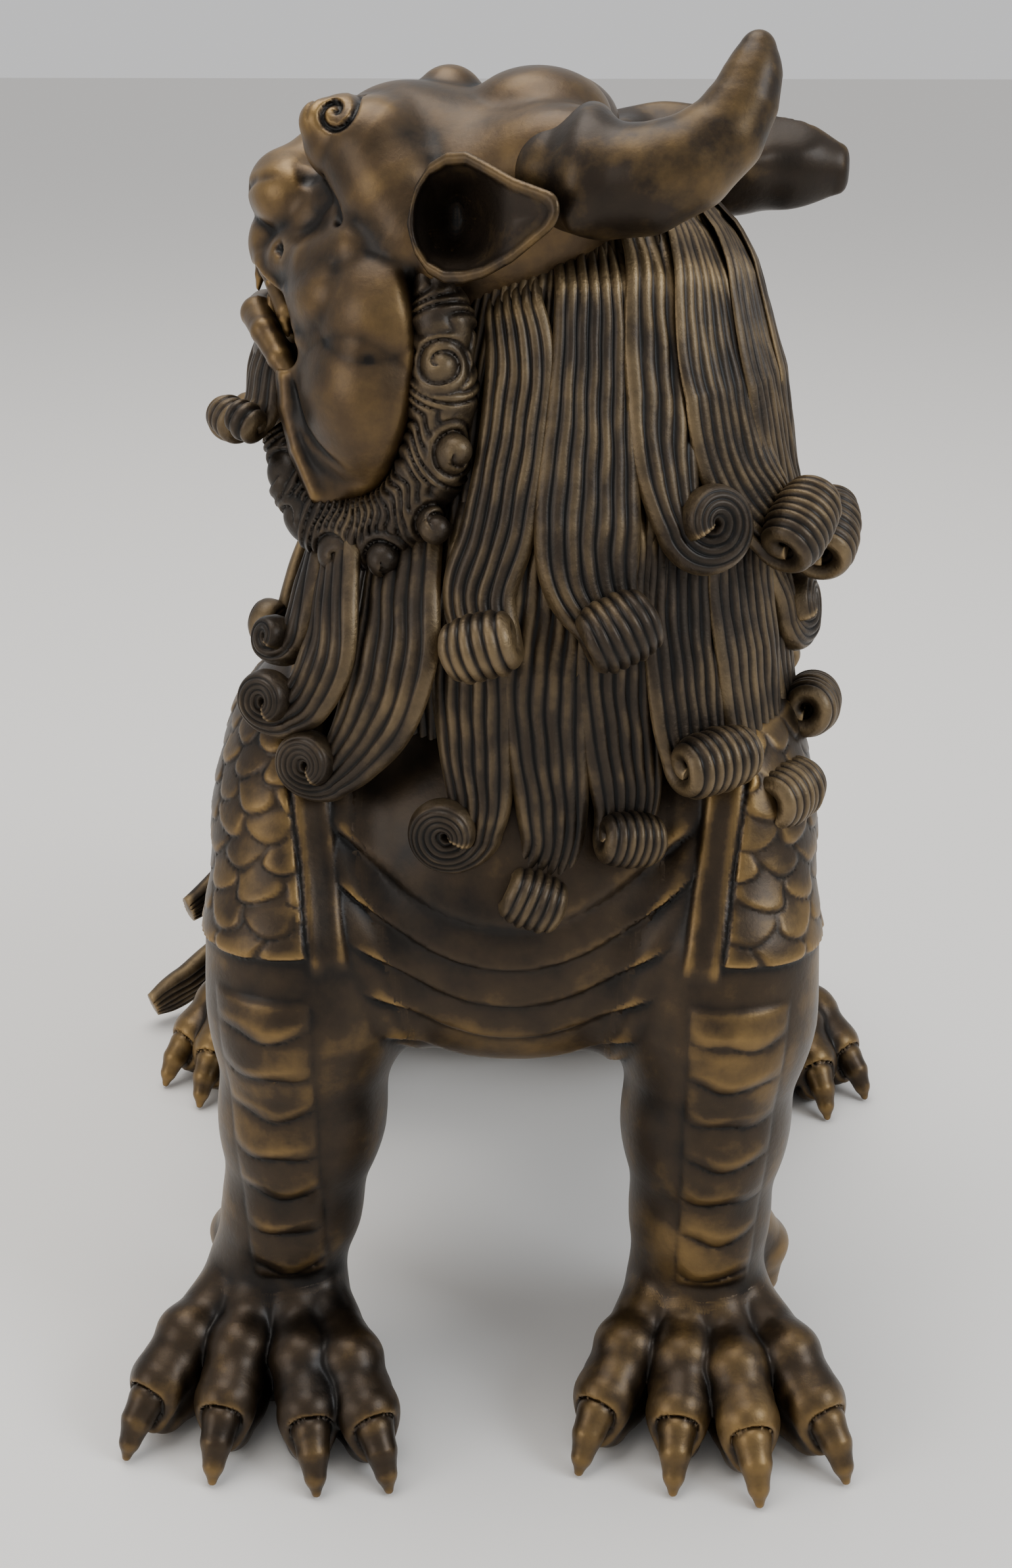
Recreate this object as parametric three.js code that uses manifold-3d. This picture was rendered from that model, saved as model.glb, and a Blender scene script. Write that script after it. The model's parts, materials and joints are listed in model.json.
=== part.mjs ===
// A guardian lion (foo dog) in cast bronze, seated on its haunches with its horned head turned to its right.
// It is built as a foundry assembles a sectional casting: hollow shells for torso, neck and head, solid limbs,
// paws, horns, ears and tail on round tenons in matching sockets, and separately cast locks of mane and beard.
// Millimetres, +Z up, the chest faces -Y, and the origin is on the floor at the middle of the bounding box.
import * as THREE from 'three';
import { mergeVertices } from 'three/addons/utils/BufferGeometryUtils.js';
import Module from 'manifold-3d';

const wasm = await Module();
wasm.setup();

// Driving dimensions.
const GAP = 0.5; // clearance between neighbouring castings
const WALL = 4; // wall of the hollow castings
const LEAN = 3; // the chest and shoulders lean this far to the lion's left of its paws
const LEG_X = 38; // forelegs from the middle of the chest, at the elbow
const LEG_Y = -78; // axis of the forelegs
const PAW_X = 41.5; // fore paws from the middle of the statue
const PAW_SHIFT = -2; // the paws stand this far to the lion's right of the middle
const HEAD_AT = [-8, -45, 212]; // middle of the head
const HEAD_TURN = 10; // degrees past square that the face looks away from the chest
const HEAD_ROLL = 7; // degrees that the near side of the head is lifted
const SLIVER = 0.15; // detail smaller than this, left where surfaces cross, is smoothed away
const CORE_HOLE = { x: 0, y: 66, radius: 13 }; // opening left by the casting core under the rump
const SIDES = { left: 1, right: -1 };

const rad = THREE.MathUtils.degToRad;
const vec = (p) => (p.isVector3 ? p.clone() : new THREE.Vector3(...p));

// ---------------------------------------------------------------- solids

function toSolid(geometry) {
  const bare = geometry.index ? geometry.toNonIndexed() : geometry.clone();
  bare.deleteAttribute('normal');
  bare.deleteAttribute('uv');
  const merged = mergeVertices(bare, 1e-4);
  return new wasm.Manifold(new wasm.Mesh({
    numProp: 3,
    vertProperties: merged.attributes.position.array,
    triVerts: new Uint32Array(merged.index.array),
  }));
}

function toGeometry(solid) {
  const { vertProperties, triVerts, numProp } = solid.getMesh();
  const points = new Float32Array((vertProperties.length / numProp) * 3);
  for (let i = 0; i < points.length / 3; i++) {
    points.set(vertProperties.subarray(i * numProp, i * numProp + 3), i * 3);
  }
  const geometry = new THREE.BufferGeometry();
  geometry.setAttribute('position', new THREE.BufferAttribute(points, 3));
  geometry.setIndex(new THREE.BufferAttribute(triVerts, 1));
  geometry.computeVertexNormals();
  return geometry;
}

const union = (...solids) => solids.reduce((a, b) => a.add(b));
const cut = (solid, ...tools) => tools.reduce((a, b) => a.subtract(b), solid);

// The main body of a solid that cutting has left in several bits, without the slivers along its cuts.
function largest(solid) {
  return solid.simplify(SLIVER).decompose().sort((a, b) => b.volume() - a.volume())[0];
}

// Ellipsoid with the given radii, grown by grow, turned by Euler angles in degrees.
function ellipsoid(centre, radii, { grow = 0, turn = [0, 0, 0], around = 12, high = 8 } = {}) {
  const geometry = new THREE.SphereGeometry(1, around, high);
  geometry.rotateX(Math.PI / 2);
  geometry.scale(...radii.map((r) => r + grow));
  geometry.applyMatrix4(new THREE.Matrix4().makeRotationFromEuler(new THREE.Euler(...turn.map(rad))));
  geometry.translate(...vec(centre).toArray());
  return toSolid(geometry);
}

// Round peg between two points.
function peg(from, to, radius, grow = 0) {
  const a = vec(from);
  const b = vec(to);
  const axis = b.clone().sub(a);
  const geometry = new THREE.CylinderGeometry(radius + grow, radius + grow, axis.length() + 2 * grow, 14);
  geometry.applyQuaternion(new THREE.Quaternion().setFromUnitVectors(new THREE.Vector3(0, 1, 0), axis.normalize()));
  geometry.translate(...a.add(b).multiplyScalar(0.5).toArray());
  return toSolid(geometry);
}

// Closed skin over a list of rings of equal length, with a point at each end.
function skin(rings, first, last) {
  const n = rings[0].length;
  const points = [first, ...rings.flat(), last];
  const triangles = [];
  for (let j = 0; j < n; j++) {
    const k = (j + 1) % n;
    triangles.push(0, 1 + k, 1 + j);
    for (let i = 0; i + 1 < rings.length; i++) {
      const [a, b, c, d] = [1 + i * n + j, 1 + i * n + k, 1 + (i + 1) * n + j, 1 + (i + 1) * n + k];
      triangles.push(a, b, c, b, d, c);
    }
    triangles.push(points.length - 1, 1 + (rings.length - 1) * n + j, 1 + (rings.length - 1) * n + k);
  }
  const geometry = new THREE.BufferGeometry().setFromPoints(points);
  geometry.setIndex(triangles);
  const solid = toSolid(geometry);
  return solid.volume() > 0 ? solid : toSolid(flipped(geometry));
}

function flipped(geometry) {
  const index = geometry.index.array;
  for (let i = 0; i < index.length; i += 3) [index[i + 1], index[i + 2]] = [index[i + 2], index[i + 1]];
  return geometry;
}

// Round-ended bar along a smooth curve. Each knot is [x, y, z, width radius, depth radius]; outward(p) gives
// the direction of the depth at a point, and without it the bar's depth points along +Y or +X.
function bar(knots, { grow = 0, sides = 10, steps = 8, outward } = {}) {
  const curve = new THREE.CatmullRomCurve3(knots.map((k) => vec(k.slice(0, 3))));
  const radiusAt = (t, which) => {
    const s = t * (knots.length - 1);
    const i = Math.min(Math.floor(s), knots.length - 2);
    return THREE.MathUtils.lerp(knots[i][which], knots[i + 1][which], s - i) + grow;
  };
  const ringAt = (t, share, push) => {
    const tangent = curve.getTangent(t);
    const centre = curve.getPoint(t).addScaledVector(tangent, push);
    const hint = outward ? outward(centre) : new THREE.Vector3(0, Math.abs(tangent.y) > 0.8 ? 0 : 1, Math.abs(tangent.y) > 0.8 ? 1 : 0);
    const wide = new THREE.Vector3().crossVectors(hint, tangent).normalize();
    const deep = new THREE.Vector3().crossVectors(tangent, wide);
    return Array.from({ length: sides }, (_, j) => {
      const a = (2 * Math.PI * j) / sides;
      return centre.clone()
        .addScaledVector(wide, Math.cos(a) * radiusAt(t, 3) * share)
        .addScaledVector(deep, Math.sin(a) * radiusAt(t, 4) * share);
    });
  };
  const END_SHARE = 0.72; // the ring next to each end is this much smaller, so that the end is round
  const rings = Array.from({ length: steps + 1 }, (_, i) => ringAt(i / steps, 1, 0));
  const [startDepth, endDepth] = [radiusAt(0, 4), radiusAt(1, 4)];
  rings.unshift(ringAt(0, END_SHARE, -startDepth * 0.6));
  rings.push(ringAt(1, END_SHARE, endDepth * 0.6));
  const first = curve.getPoint(0).addScaledVector(curve.getTangent(0), -startDepth);
  const last = curve.getPoint(1).addScaledVector(curve.getTangent(1), endDepth);
  return skin(rings, first, last);
}

const BIG = 400;
function below(z) {
  const geometry = new THREE.BoxGeometry(BIG, BIG, BIG);
  geometry.translate(0, 0, z - BIG / 2);
  return toSolid(geometry);
}

// ---------------------------------------------------------------- mane surface

// Sections of the maned neck: height, middle x and y, half width, half depth to the front and to the back.
const SECTIONS = [
  [106, 3, -48, 38, 38, 34],
  [125, 5, -46, 42, 42, 40],
  [150, 8, -43, 42, 43, 44],
  [175, 11, -42, 39, 40, 37],
  [195, 12, -43, 34, 33, 32],
  [213, 13, -43, 27, 28, 27],
  [226, 13, -42, 18, 19, 18],
];
const CAPE_START = 172; // below this height the mane spreads back over the shoulders
const CAPE_SLOPE = 0.65; // how far it spreads back for each millimetre down

function section(z) {
  const last = SECTIONS.length - 2;
  let i = 0;
  while (i < last && z > SECTIONS[i + 1][0]) i++;
  const t = THREE.MathUtils.clamp((z - SECTIONS[i][0]) / (SECTIONS[i + 1][0] - SECTIONS[i][0]), 0, 1);
  return SECTIONS[i].map((v, k) => THREE.MathUtils.lerp(v, SECTIONS[i + 1][k], t));
}

// Point on the mane: 0 degrees faces the chest's front, 90 the lion's left, 180 its back.
function onMane(degrees, z, lift = 0) {
  const [, x, y, wide, front, back] = section(z);
  const [s, c] = [Math.sin(rad(degrees)), Math.cos(rad(degrees))];
  const cape = Math.max(0, CAPE_START - z) * CAPE_SLOPE;
  const deep = c > 0 ? front : back + cape;
  return new THREE.Vector3(x + (wide + lift) * s, y - (deep + lift) * c, z);
}

function maneOutward(p) {
  const [, x, y] = section(p.z);
  return new THREE.Vector3(p.x - x, p.y - y, 0.15 * Math.hypot(p.x - x, p.y - y)).normalize();
}

function neckLoft(grow) {
  const sides = 16;
  const rings = SECTIONS.map(([z, x, y, wide, front, back]) => Array.from({ length: sides }, (_, j) => {
    const a = (2 * Math.PI * j) / sides;
    const deep = (Math.cos(a) > 0 ? front : back) + grow;
    return new THREE.Vector3(x + (wide + grow) * Math.sin(a), y - deep * Math.cos(a), z);
  }));
  const [low, high] = [SECTIONS[0], SECTIONS.at(-1)];
  const first = new THREE.Vector3(low[1], low[2], low[0] - Math.max(grow, 0));
  const last = new THREE.Vector3(high[1], high[2], high[0] + Math.max(grow, 0));
  return skin(rings, first, last);
}

// ---------------------------------------------------------------- head frame

const turn = rad(HEAD_TURN);
const roll = rad(HEAD_ROLL);
const FORWARD = new THREE.Vector3(-Math.cos(turn), Math.sin(turn), 0);
const LEVEL_LEFT = new THREE.Vector3(-Math.sin(turn), -Math.cos(turn), 0);
const HEAD_LEFT = LEVEL_LEFT.clone().multiplyScalar(Math.cos(roll)).add(new THREE.Vector3(0, 0, Math.sin(roll)));
const HEAD_UP = new THREE.Vector3().crossVectors(FORWARD, HEAD_LEFT);

// A point given as forward, left and up from the middle of the head.
function inHead(forward, left, up) {
  return vec(HEAD_AT)
    .addScaledVector(FORWARD, forward)
    .addScaledVector(HEAD_LEFT, left)
    .addScaledVector(HEAD_UP, up);
}

function headEllipsoid(at, radii, grow, options = {}) {
  const basis = new THREE.Matrix4().makeBasis(FORWARD, HEAD_LEFT, HEAD_UP).setPosition(vec(HEAD_AT));
  const geometry = new THREE.SphereGeometry(1, options.around ?? 12, options.high ?? 8);
  geometry.rotateX(Math.PI / 2);
  geometry.scale(...radii.map((r) => r + grow));
  geometry.translate(...at);
  geometry.applyMatrix4(basis);
  return toSolid(geometry);
}

const headKnot = (forward, left, up, wide, deep = wide) => [...inHead(forward, left, up).toArray(), wide, deep];

// ---------------------------------------------------------------- shapes, each a function of its growth

const shape = {
  torso: (g) => {
    const detail = g < 0 ? { grow: g, around: 10, high: 6 } : { grow: g, around: 14, high: 9 };
    return cut(union(
      ellipsoid([LEAN, -44, 108], [43, 44, 46], detail),
      ellipsoid([LEAN / 2, 14, 98], [42, 54, 49], { ...detail, turn: [-22, 0, 0] }),
      ellipsoid([0, 62, 48], [43, 42, 54], { ...detail, turn: [12, 0, 0] }),
    ), below(g < 0 ? WALL : 0));
  },
  neck: (g) => neckLoft(g),
  head: (g) => union(...[
    [[-4, 0, 12], [26, 27, 21]],
    [[9, 0, -11], [21, 30, 25]],
    [[23, 0, 9], [13, 15, 12]],
  ].map(([at, radii]) => headEllipsoid(at, radii, g, g < 0 ? { around: 10, high: 6 } : {}))),
  lowerJaw: (g) => headEllipsoid([25, 0, -21], [13, 17, 9], g),
  horn: (side, g) => (side === 'left'
    ? bar([headKnot(-18, 17, 20, 9), headKnot(-32, 21, 18, 8.2), headKnot(-43, 22, 24, 6.6), headKnot(-48, 20, 37, 3)],
      { grow: g, steps: 9 })
    : bar([headKnot(-18, -17, 20, 9), headKnot(-32, -22, 19, 8.2), headKnot(-45, -26, 22, 6.4), headKnot(-55, -29, 26, 4.6)],
      { grow: g, steps: 9 })),
  ear: (side, g) => {
    const s = SIDES[side];
    return bar([headKnot(1, 25 * s, 15, 5, 6), headKnot(-6, 29 * s, 15, 8.5, 5), headKnot(-14, 31 * s, 14, 7, 3.5),
      headKnot(-21, 33 * s, 13, 2, 1.5)], { grow: g, steps: 6, sides: 8, outward: () => HEAD_LEFT });
  },
  foreleg: (side, g) => {
    const s = SIDES[side];
    return union(
      ellipsoid([LEAN + s * 39.5, -54, 117], [15.5, 29, 27], { grow: g }),
      bar([[LEAN + s * LEG_X, -68, 112, 15, 17], [LEAN + s * LEG_X, -76, 94, 16, 18],
        [LEAN + s * LEG_X, LEG_Y, 80, 17, 18], [LEAN / 2 + s * (LEG_X + 1), LEG_Y, 54, 14.5, 15],
        [s * PAW_X, LEG_Y, 27, 12.5, 13.5]], { grow: g, steps: 6 }),
    );
  },
  haunch: (side, g) => {
    const s = SIDES[side];
    return cut(union(
      ellipsoid([s * 42, 50, 52], [25, 40, 40], { grow: g, turn: [25, 0, 0] }),
      bar([[s * 57, 74, 12, 12, 12], [s * 58, 62, 13, 12, 12], [s * 60, 50, 13, 11, 11]], { grow: g, steps: 3 }),
    ), below(0));
  },
};

// Paws, as reaches from the middle: y of the middle, half width, reach to the front and back, height, and the
// tips of the four toes from the inner to the outer one, each as [outward, forward].
const PAWS = {
  fore: { at: PAW_X, shift: PAW_SHIFT, y: -80, wide: 23, front: 27, back: 17, height: 25,
    tips: [[-23, 30], [-7, 35], [8, 35], [25, 29]] },
  hind: { at: 64, shift: 0, y: 46, wide: 17, front: 22, back: 17, height: 23,
    tips: [[-9, 27], [1, 31], [12, 30], [24, 20]] },
};
const TOE_SPREAD = 0.26; // half the angle that a toe takes up, in radians
const PAW_LEVELS = [[0, 0.97], [0.12, 1], [0.35, 0.99], [0.6, 0.9], [0.8, 0.72], [0.94, 0.42]]; // height, reach

function paw(kind, side, grow) {
  const { at, shift, y, wide, front, back, height, tips } = PAWS[kind];
  const s = SIDES[side];
  const x = s * at + shift;
  const AROUND = 40;
  const reach = (a) => {
    const deep = Math.cos(a) > 0 ? front : back;
    const palm = 1 / Math.hypot(Math.sin(a) / wide, Math.cos(a) / deep);
    const toes = tips.map(([out, ahead]) => {
      const off = (a - Math.atan2(out, ahead)) / TOE_SPREAD;
      return Math.hypot(out, ahead) * (1 - 0.18 * off * off);
    });
    return Math.max(palm, ...toes);
  };
  const rings = PAW_LEVELS.map(([level, share]) => Array.from({ length: AROUND }, (_, j) => {
    const a = (2 * Math.PI * j) / AROUND - Math.PI;
    const r = reach(a) * share + grow;
    return new THREE.Vector3(x + s * r * Math.sin(a), y - r * Math.cos(a), level * height);
  }));
  return skin(rings, new THREE.Vector3(x, y, 0), new THREE.Vector3(x, y, height + grow));
}

// ---------------------------------------------------------------- locks of hair

const LOCK_LIFT = 3.2; // the middle of a lock stands this far off the mane's surface
const LOCK_DEPTH = 3.6; // half its thickness
const CURL_DEPTH = 6.2; // half the thickness of the curl that ends it

// Mane locks, from the near edge of the face round the lion's left and back to its right. Each goes from an
// angle and height to the angle and height of its curl, and has a width.
const MANE_LOCKS = {
  mane_lock_upper_1: [-45, 209, -13, 155, 17],
  mane_lock_upper_2: [-14, 214, 14, 159, 21],
  mane_lock_upper_3: [19, 216, 35, 172, 22],
  mane_lock_upper_4: [45, 216, 59, 169, 19],
  mane_lock_upper_5: [69, 216, 79, 163, 21],
  mane_lock_upper_6: [95, 216, 99, 162, 21],
  mane_lock_upper_7: [122, 216, 122, 162, 22],
  mane_lock_upper_8: [149, 216, 148, 158, 22],
  mane_lock_upper_9: [178, 214, 176, 158, 22],
  mane_lock_upper_10: [204, 209, 200, 164, 20],
  mane_lock_lower_1: [-15, 148, -16, 122, 15],
  mane_lock_lower_2: [2, 148, 2, 113, 17],
  mane_lock_lower_3: [22, 150, 22, 123, 15],
  mane_lock_lower_4: [41, 164, 41, 134, 15],
  mane_lock_lower_5: [58, 160, 60, 124, 17],
  mane_lock_lower_6: [74, 164, 75, 148, 14],
  mane_lock_lower_7: [92, 158, 84, 134, 17],
  mane_lock_lower_8: [112, 158, 113, 133, 20],
  mane_lock_lower_9: [141, 158, 140, 137, 21],
  mane_lock_lower_10: [170, 158, 170, 130, 21],
  mane_lock_lower_11: [196, 158, 195, 138, 20],
};

function maneLock([fromAngle, fromZ, toAngle, toZ, width], grow) {
  const knot = (t, lift, wide, deep) => [
    ...onMane(THREE.MathUtils.lerp(fromAngle, toAngle, t), THREE.MathUtils.lerp(fromZ, toZ, t), lift).toArray(), wide, deep];
  return bar([
    knot(0, LOCK_LIFT - 2, width * 0.34, LOCK_DEPTH),
    knot(0.35, LOCK_LIFT, width * 0.46, LOCK_DEPTH),
    knot(0.7, LOCK_LIFT, width * 0.5, LOCK_DEPTH),
    knot(1, LOCK_LIFT + 1.8, width * 0.5, CURL_DEPTH),
  ], { grow, sides: 6, steps: 4, outward: maneOutward });
}

// Free locks: knots of [x, y, z, width radius, depth radius] from root to curl.
const FREE_LOCKS = {
  beard_lock_1: [[-24, -72, 176, 7, 5], [-25, -79, 158, 7, 5], [-28, -80, 140, 6.5, 5], [-36, -79, 128, 8, 5]],
  beard_lock_2: [[-34, -64, 176, 6, 4.5], [-35, -69, 162, 6, 4.5], [-37, -71, 149, 6, 4.5], [-43, -70, 138, 6.5, 4.5]],
  beard_lock_3: [[-40, -50, 176, 5, 4.5], [-41, -54, 163, 5, 4.5], [-44, -56, 150, 5, 4.5]],
  beard_lock_4: [[-36, -34, 176, 6, 4.5], [-37, -31, 160, 6, 4.5], [-40, -28, 144, 6.5, 4.5]],
  beard_lock_5: [[-26, -20, 176, 7, 5], [-26, -12, 160, 7, 5], [-28, -8, 144, 7.5, 5]],
  tail_lock_1: [[-24, 92, 40, 9, 8], [-46, 90, 42, 9, 8], [-62, 80, 52, 7, 7], [-68, 70, 62, 5, 5]],
  tail_lock_2: [[-26, 94, 22, 9, 8], [-56, 90, 22, 9, 8], [-78, 76, 13, 7, 6], [-95, 62, 5.5, 4.5, 4.5]],
  tail_lock_3: [[-6, 98, 44, 9, 8], [-4, 102, 68, 9, 8], [-8, 97, 90, 8, 7], [-4, 88, 106, 6, 6]],
  tail_lock_4: [[4, 98, 40, 9, 8], [18, 100, 58, 9, 8], [28, 94, 76, 7, 7], [26, 84, 90, 5, 5]],
};

const freeLock = (knots, grow) => bar(knots, { grow, sides: 7, steps: 5 });

const CHIN_BEARD = (g) => bar([headKnot(36, 4, -20, 7, 5), headKnot(38, 5, -28, 7, 5), headKnot(41, 8, -34, 5, 4)],
  { grow: g, sides: 8, steps: 4 });

// The curled fur between the cheek and the mane, one band on each side of the head.
function cheekRuff(side, grow) {
  const s = side === 'left' ? 1 : -1.2; // the mane stands further out on the far side
  return bar([headKnot(-6, 26 * s, 6, 4, 5), headKnot(-7, 31 * s, -10, 6, 5), headKnot(-4, 31 * s, -28, 7, 5),
    headKnot(8, 27 * s, -40, 7, 5), headKnot(22, 18 * s, -44, 6, 5)],
  { grow, sides: 8, steps: 8, outward: () => HEAD_LEFT });
}

// ---------------------------------------------------------------- bronze

const BRONZE = { metalness: 0.9, roughness: 0.42 };
const tones = {
  brown: new THREE.MeshStandardMaterial({ color: 0x4a3520, ...BRONZE }),
  dark: new THREE.MeshStandardMaterial({ color: 0x35291c, ...BRONZE }),
  rubbed: new THREE.MeshStandardMaterial({ color: 0x7d5c2c, ...BRONZE }),
};

const statue = new THREE.Group();
const made = []; // solids made so far, each as a function of its growth
const sockets = []; // tenons, which the casting that receives them is cut by

function addNode(name, solid, tone) {
  const mesh = new THREE.Mesh(toGeometry(largest(solid)), tones[tone].clone());
  mesh.name = name;
  statue.add(mesh);
}

// Adds a piece that is cut clear of everything added before it, with its tenon left whole.
function place(name, grown, tone, tenon) {
  const g = grown(0);
  let solid = largest(cut(g, ...made.filter((m) => !g.intersect(m.grown).isEmpty()).map((m) => m.grown)));
  if (tenon) solid = union(solid, tenon(0));
  addNode(name, solid, tone);
  made.push({ grown: grown(GAP) });
}

// Tenons, as pegs from inside the casting that carries them to inside the one that receives them.
const tenons = {};
for (const [side, s] of Object.entries(SIDES)) {
  tenons[`${side}_foreleg`] = (g) => peg([s * 46, -52, 97], [s * 30, -52, 97], 6, g);
  tenons[`${side}_haunch`] = (g) => peg([s * 48, 54, 52], [s * 30, 54, 52], 7, g);
  tenons[`${side}_horn`] = (g) => peg(inHead(-22, 18 * s, 19.5), inHead(-10, 13 * s, 18), 4.5, g);
  tenons[`${side}_ear`] = (g) => peg(inHead(-4, 28 * s, 15), inHead(-3, 19 * s, 14), 2.6, g);
}
tenons.tail = (g) => peg([0, 96, 34], [0, 78, 36], 6, g);
tenons.jaw = (g) => peg(inHead(22, 0, -20), inHead(12, 0, -16), 4, g);
Object.values(tenons).forEach((t) => sockets.push(t(GAP)));

// Hollow castings come first, because everything else seats on them.
const neckTube = cut(shape.neck(0), neckLoftTall(-WALL));
function neckLoftTall(grow) {
  const inner = neckLoft(grow);
  const low = peg([1, -46, 100], [1, -46, 116], 26);
  const high = peg([13, -38, 214], [13, -38, 232], 14);
  return union(inner, low, high);
}
addNode('neck_shell', cut(neckTube, ...sockets), 'dark');
made.push({ grown: shape.neck(GAP) });

const coreHole = peg([CORE_HOLE.x, CORE_HOLE.y, -5], [CORE_HOLE.x, CORE_HOLE.y, WALL + 4], CORE_HOLE.radius);
addNode('torso_shell', cut(shape.torso(0), shape.torso(-WALL), shape.neck(GAP), coreHole, ...sockets), 'brown');
made.push({ grown: shape.torso(GAP) });

const PLUG_RECESS = 0.6;
const plug = peg([CORE_HOLE.x, CORE_HOLE.y, PLUG_RECESS], [CORE_HOLE.x, CORE_HOLE.y, WALL], CORE_HOLE.radius - GAP);
addNode('core_plug', plug, 'dark');

addNode('head_shell', cut(shape.head(0), shape.head(-WALL), shape.neck(GAP), ...sockets), 'brown');
made.push({ grown: shape.head(GAP) });

place('lower_jaw', shape.lowerJaw, 'brown', tenons.jaw);
for (const side of Object.keys(SIDES)) {
  place(`${side}_foreleg`, (g) => shape.foreleg(side, g), 'rubbed', tenons[`${side}_foreleg`]);
  place(`${side}_fore_paw`, (g) => paw('fore', side, g), 'rubbed');
  place(`${side}_haunch`, (g) => shape.haunch(side, g), 'brown', tenons[`${side}_haunch`]);
  place(`${side}_hind_paw`, (g) => paw('hind', side, g), 'rubbed');
  place(`${side}_horn`, (g) => shape.horn(side, g), 'brown', tenons[`${side}_horn`]);
  place(`${side}_ear`, (g) => shape.ear(side, g), 'brown', tenons[`${side}_ear`]);
  place(`${side}_cheek_ruff`, (g) => cheekRuff(side, g), 'dark');
}
place('tail_root', (g) => ellipsoid([0, 97, 34], [15, 12, 20], { grow: g, around: 12, high: 8 }), 'brown', tenons.tail);
for (const [name, knots] of Object.entries(FREE_LOCKS)) place(name, (g) => freeLock(knots, g), 'dark');
place('chin_beard', CHIN_BEARD, 'dark');
for (const [name, lock] of Object.entries(MANE_LOCKS)) place(name, (g) => maneLock(lock, g), 'dark');

// The origin moves to the floor at the middle of the bounding box.
const bounds = new THREE.Box3().setFromObject(statue);
const middle = bounds.getCenter(new THREE.Vector3());
statue.position.set(-middle.x, -middle.y, -bounds.min.z);

export default statue;
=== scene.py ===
"""A cast bronze guardian lion, sculpted in code around its CAD castings.

The body, head and paws are distance fields turned into meshes, and the mane, beard and tail are ribbons of
chased strands. Sculpting is done in millimetres in the CAD's own sculpting frame, in which the middle of the
chest is near x 0 and the floor is z 0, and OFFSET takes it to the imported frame.
"""

import json
import math

import bpy
import numpy as np
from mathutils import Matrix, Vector


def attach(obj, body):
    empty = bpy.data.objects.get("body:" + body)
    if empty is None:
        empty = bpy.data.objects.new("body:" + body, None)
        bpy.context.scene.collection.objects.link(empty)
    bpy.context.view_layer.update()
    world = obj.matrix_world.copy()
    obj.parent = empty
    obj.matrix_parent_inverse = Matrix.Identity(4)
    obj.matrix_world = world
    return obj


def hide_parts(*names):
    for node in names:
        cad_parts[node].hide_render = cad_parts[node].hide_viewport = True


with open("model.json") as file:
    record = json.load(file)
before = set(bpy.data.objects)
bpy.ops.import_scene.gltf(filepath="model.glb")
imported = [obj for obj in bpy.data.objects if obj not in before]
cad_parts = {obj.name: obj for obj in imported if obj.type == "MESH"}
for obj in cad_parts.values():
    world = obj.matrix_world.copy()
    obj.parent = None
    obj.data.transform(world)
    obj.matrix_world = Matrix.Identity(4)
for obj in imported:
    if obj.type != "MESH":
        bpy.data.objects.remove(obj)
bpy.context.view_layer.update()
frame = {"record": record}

MM = 0.001
SOLE_AT = (39.5, -80.0, 0.0)  # the left fore sole in the sculpting frame
sole = next(m for m in frame["record"]["mounts"] if m["name"] == "left_fore_sole")
OFFSET = np.array(sole["pos_m"]) / MM - SOLE_AT
COARSEN = 1.0
SIDES = {"left": 1, "right": -1}

# ------------ distance fields


def smooth_min(a, b, k):
    h = np.clip(0.5 + 0.5 * (b - a) / k, 0, 1)
    return b + h * (a - b) - k * h * (1 - h)


def smooth_max(a, b, k):
    return -smooth_min(-a, -b, k)


def tilt(degrees):
    """Axes of a shape that is turned about X."""
    c, s = math.cos(math.radians(degrees)), math.sin(math.radians(degrees))
    return np.array([[1, 0, 0], [0, c, -s], [0, s, c]], np.float32)


def blob(p, centre, radii, axes=None):
    """Distance to an ellipsoid, near enough for blending."""
    q = p - np.float32(centre)
    if axes is not None:
        q = q @ axes
    r = np.float32(radii)
    k0 = np.sqrt(((q / r) ** 2).sum(1))
    k1 = np.sqrt(((q / r**2) ** 2).sum(1))
    return k0 * (k0 - 1) / np.maximum(k1, 1e-6)


def limb(p, knots, blend=2.0):
    """Distance to a chain of round cones through knots of (x, y, z, radius)."""
    total = None
    for a, b in zip(knots, knots[1:]):
        a, b = np.float32(a), np.float32(b)
        axis = b[:3] - a[:3]
        q = p - a[:3]
        t = np.clip(q @ axis / (axis @ axis), 0, 1)
        d = np.sqrt(((q - t[:, None] * axis) ** 2).sum(1)) - (a[3] + t * (b[3] - a[3]))
        total = d if total is None else smooth_min(total, d, blend)
    return total


def bump(x, low, high, soft):
    """1 between low and high, falling to 0 over soft outside them."""
    rise = np.clip((x - low) / soft + 1, 0, 1)
    fall = np.clip((high - x) / soft + 1, 0, 1)
    t = np.minimum(rise, fall)
    return t * t * (3 - 2 * t)


def unit(v):
    return v / np.maximum(np.sqrt((v**2).sum(-1, keepdims=True)), 1e-9)


def curve(knots, count):
    """Catmull-Rom curve through rows of numbers, evenly spaced in their order."""
    k = np.array(knots, float)
    k = np.concatenate([[2 * k[0] - k[1]], k, [2 * k[-1] - k[-2]]])
    t = np.linspace(0, len(k) - 3 - 1e-9, count)
    i = t.astype(int)
    t = (t - i)[:, None]
    a, b, c, d = k[i], k[i + 1], k[i + 2], k[i + 3]
    return 0.5 * (2 * b + (c - a) * t + (2 * a - 5 * b + 4 * c - d) * t**2 + (3 * b - a - 3 * c + d) * t**3)


# ------------ meshes from fields

CORNERS = np.array([[i, j, k] for i in (0, 1) for j in (0, 1) for k in (0, 1)])
EDGES = [(a, b) for a in range(8) for b in range(a + 1, 8) if np.abs(CORNERS[a] - CORNERS[b]).sum() == 1]
BLOCK = 4  # grid steps along a block's side


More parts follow.
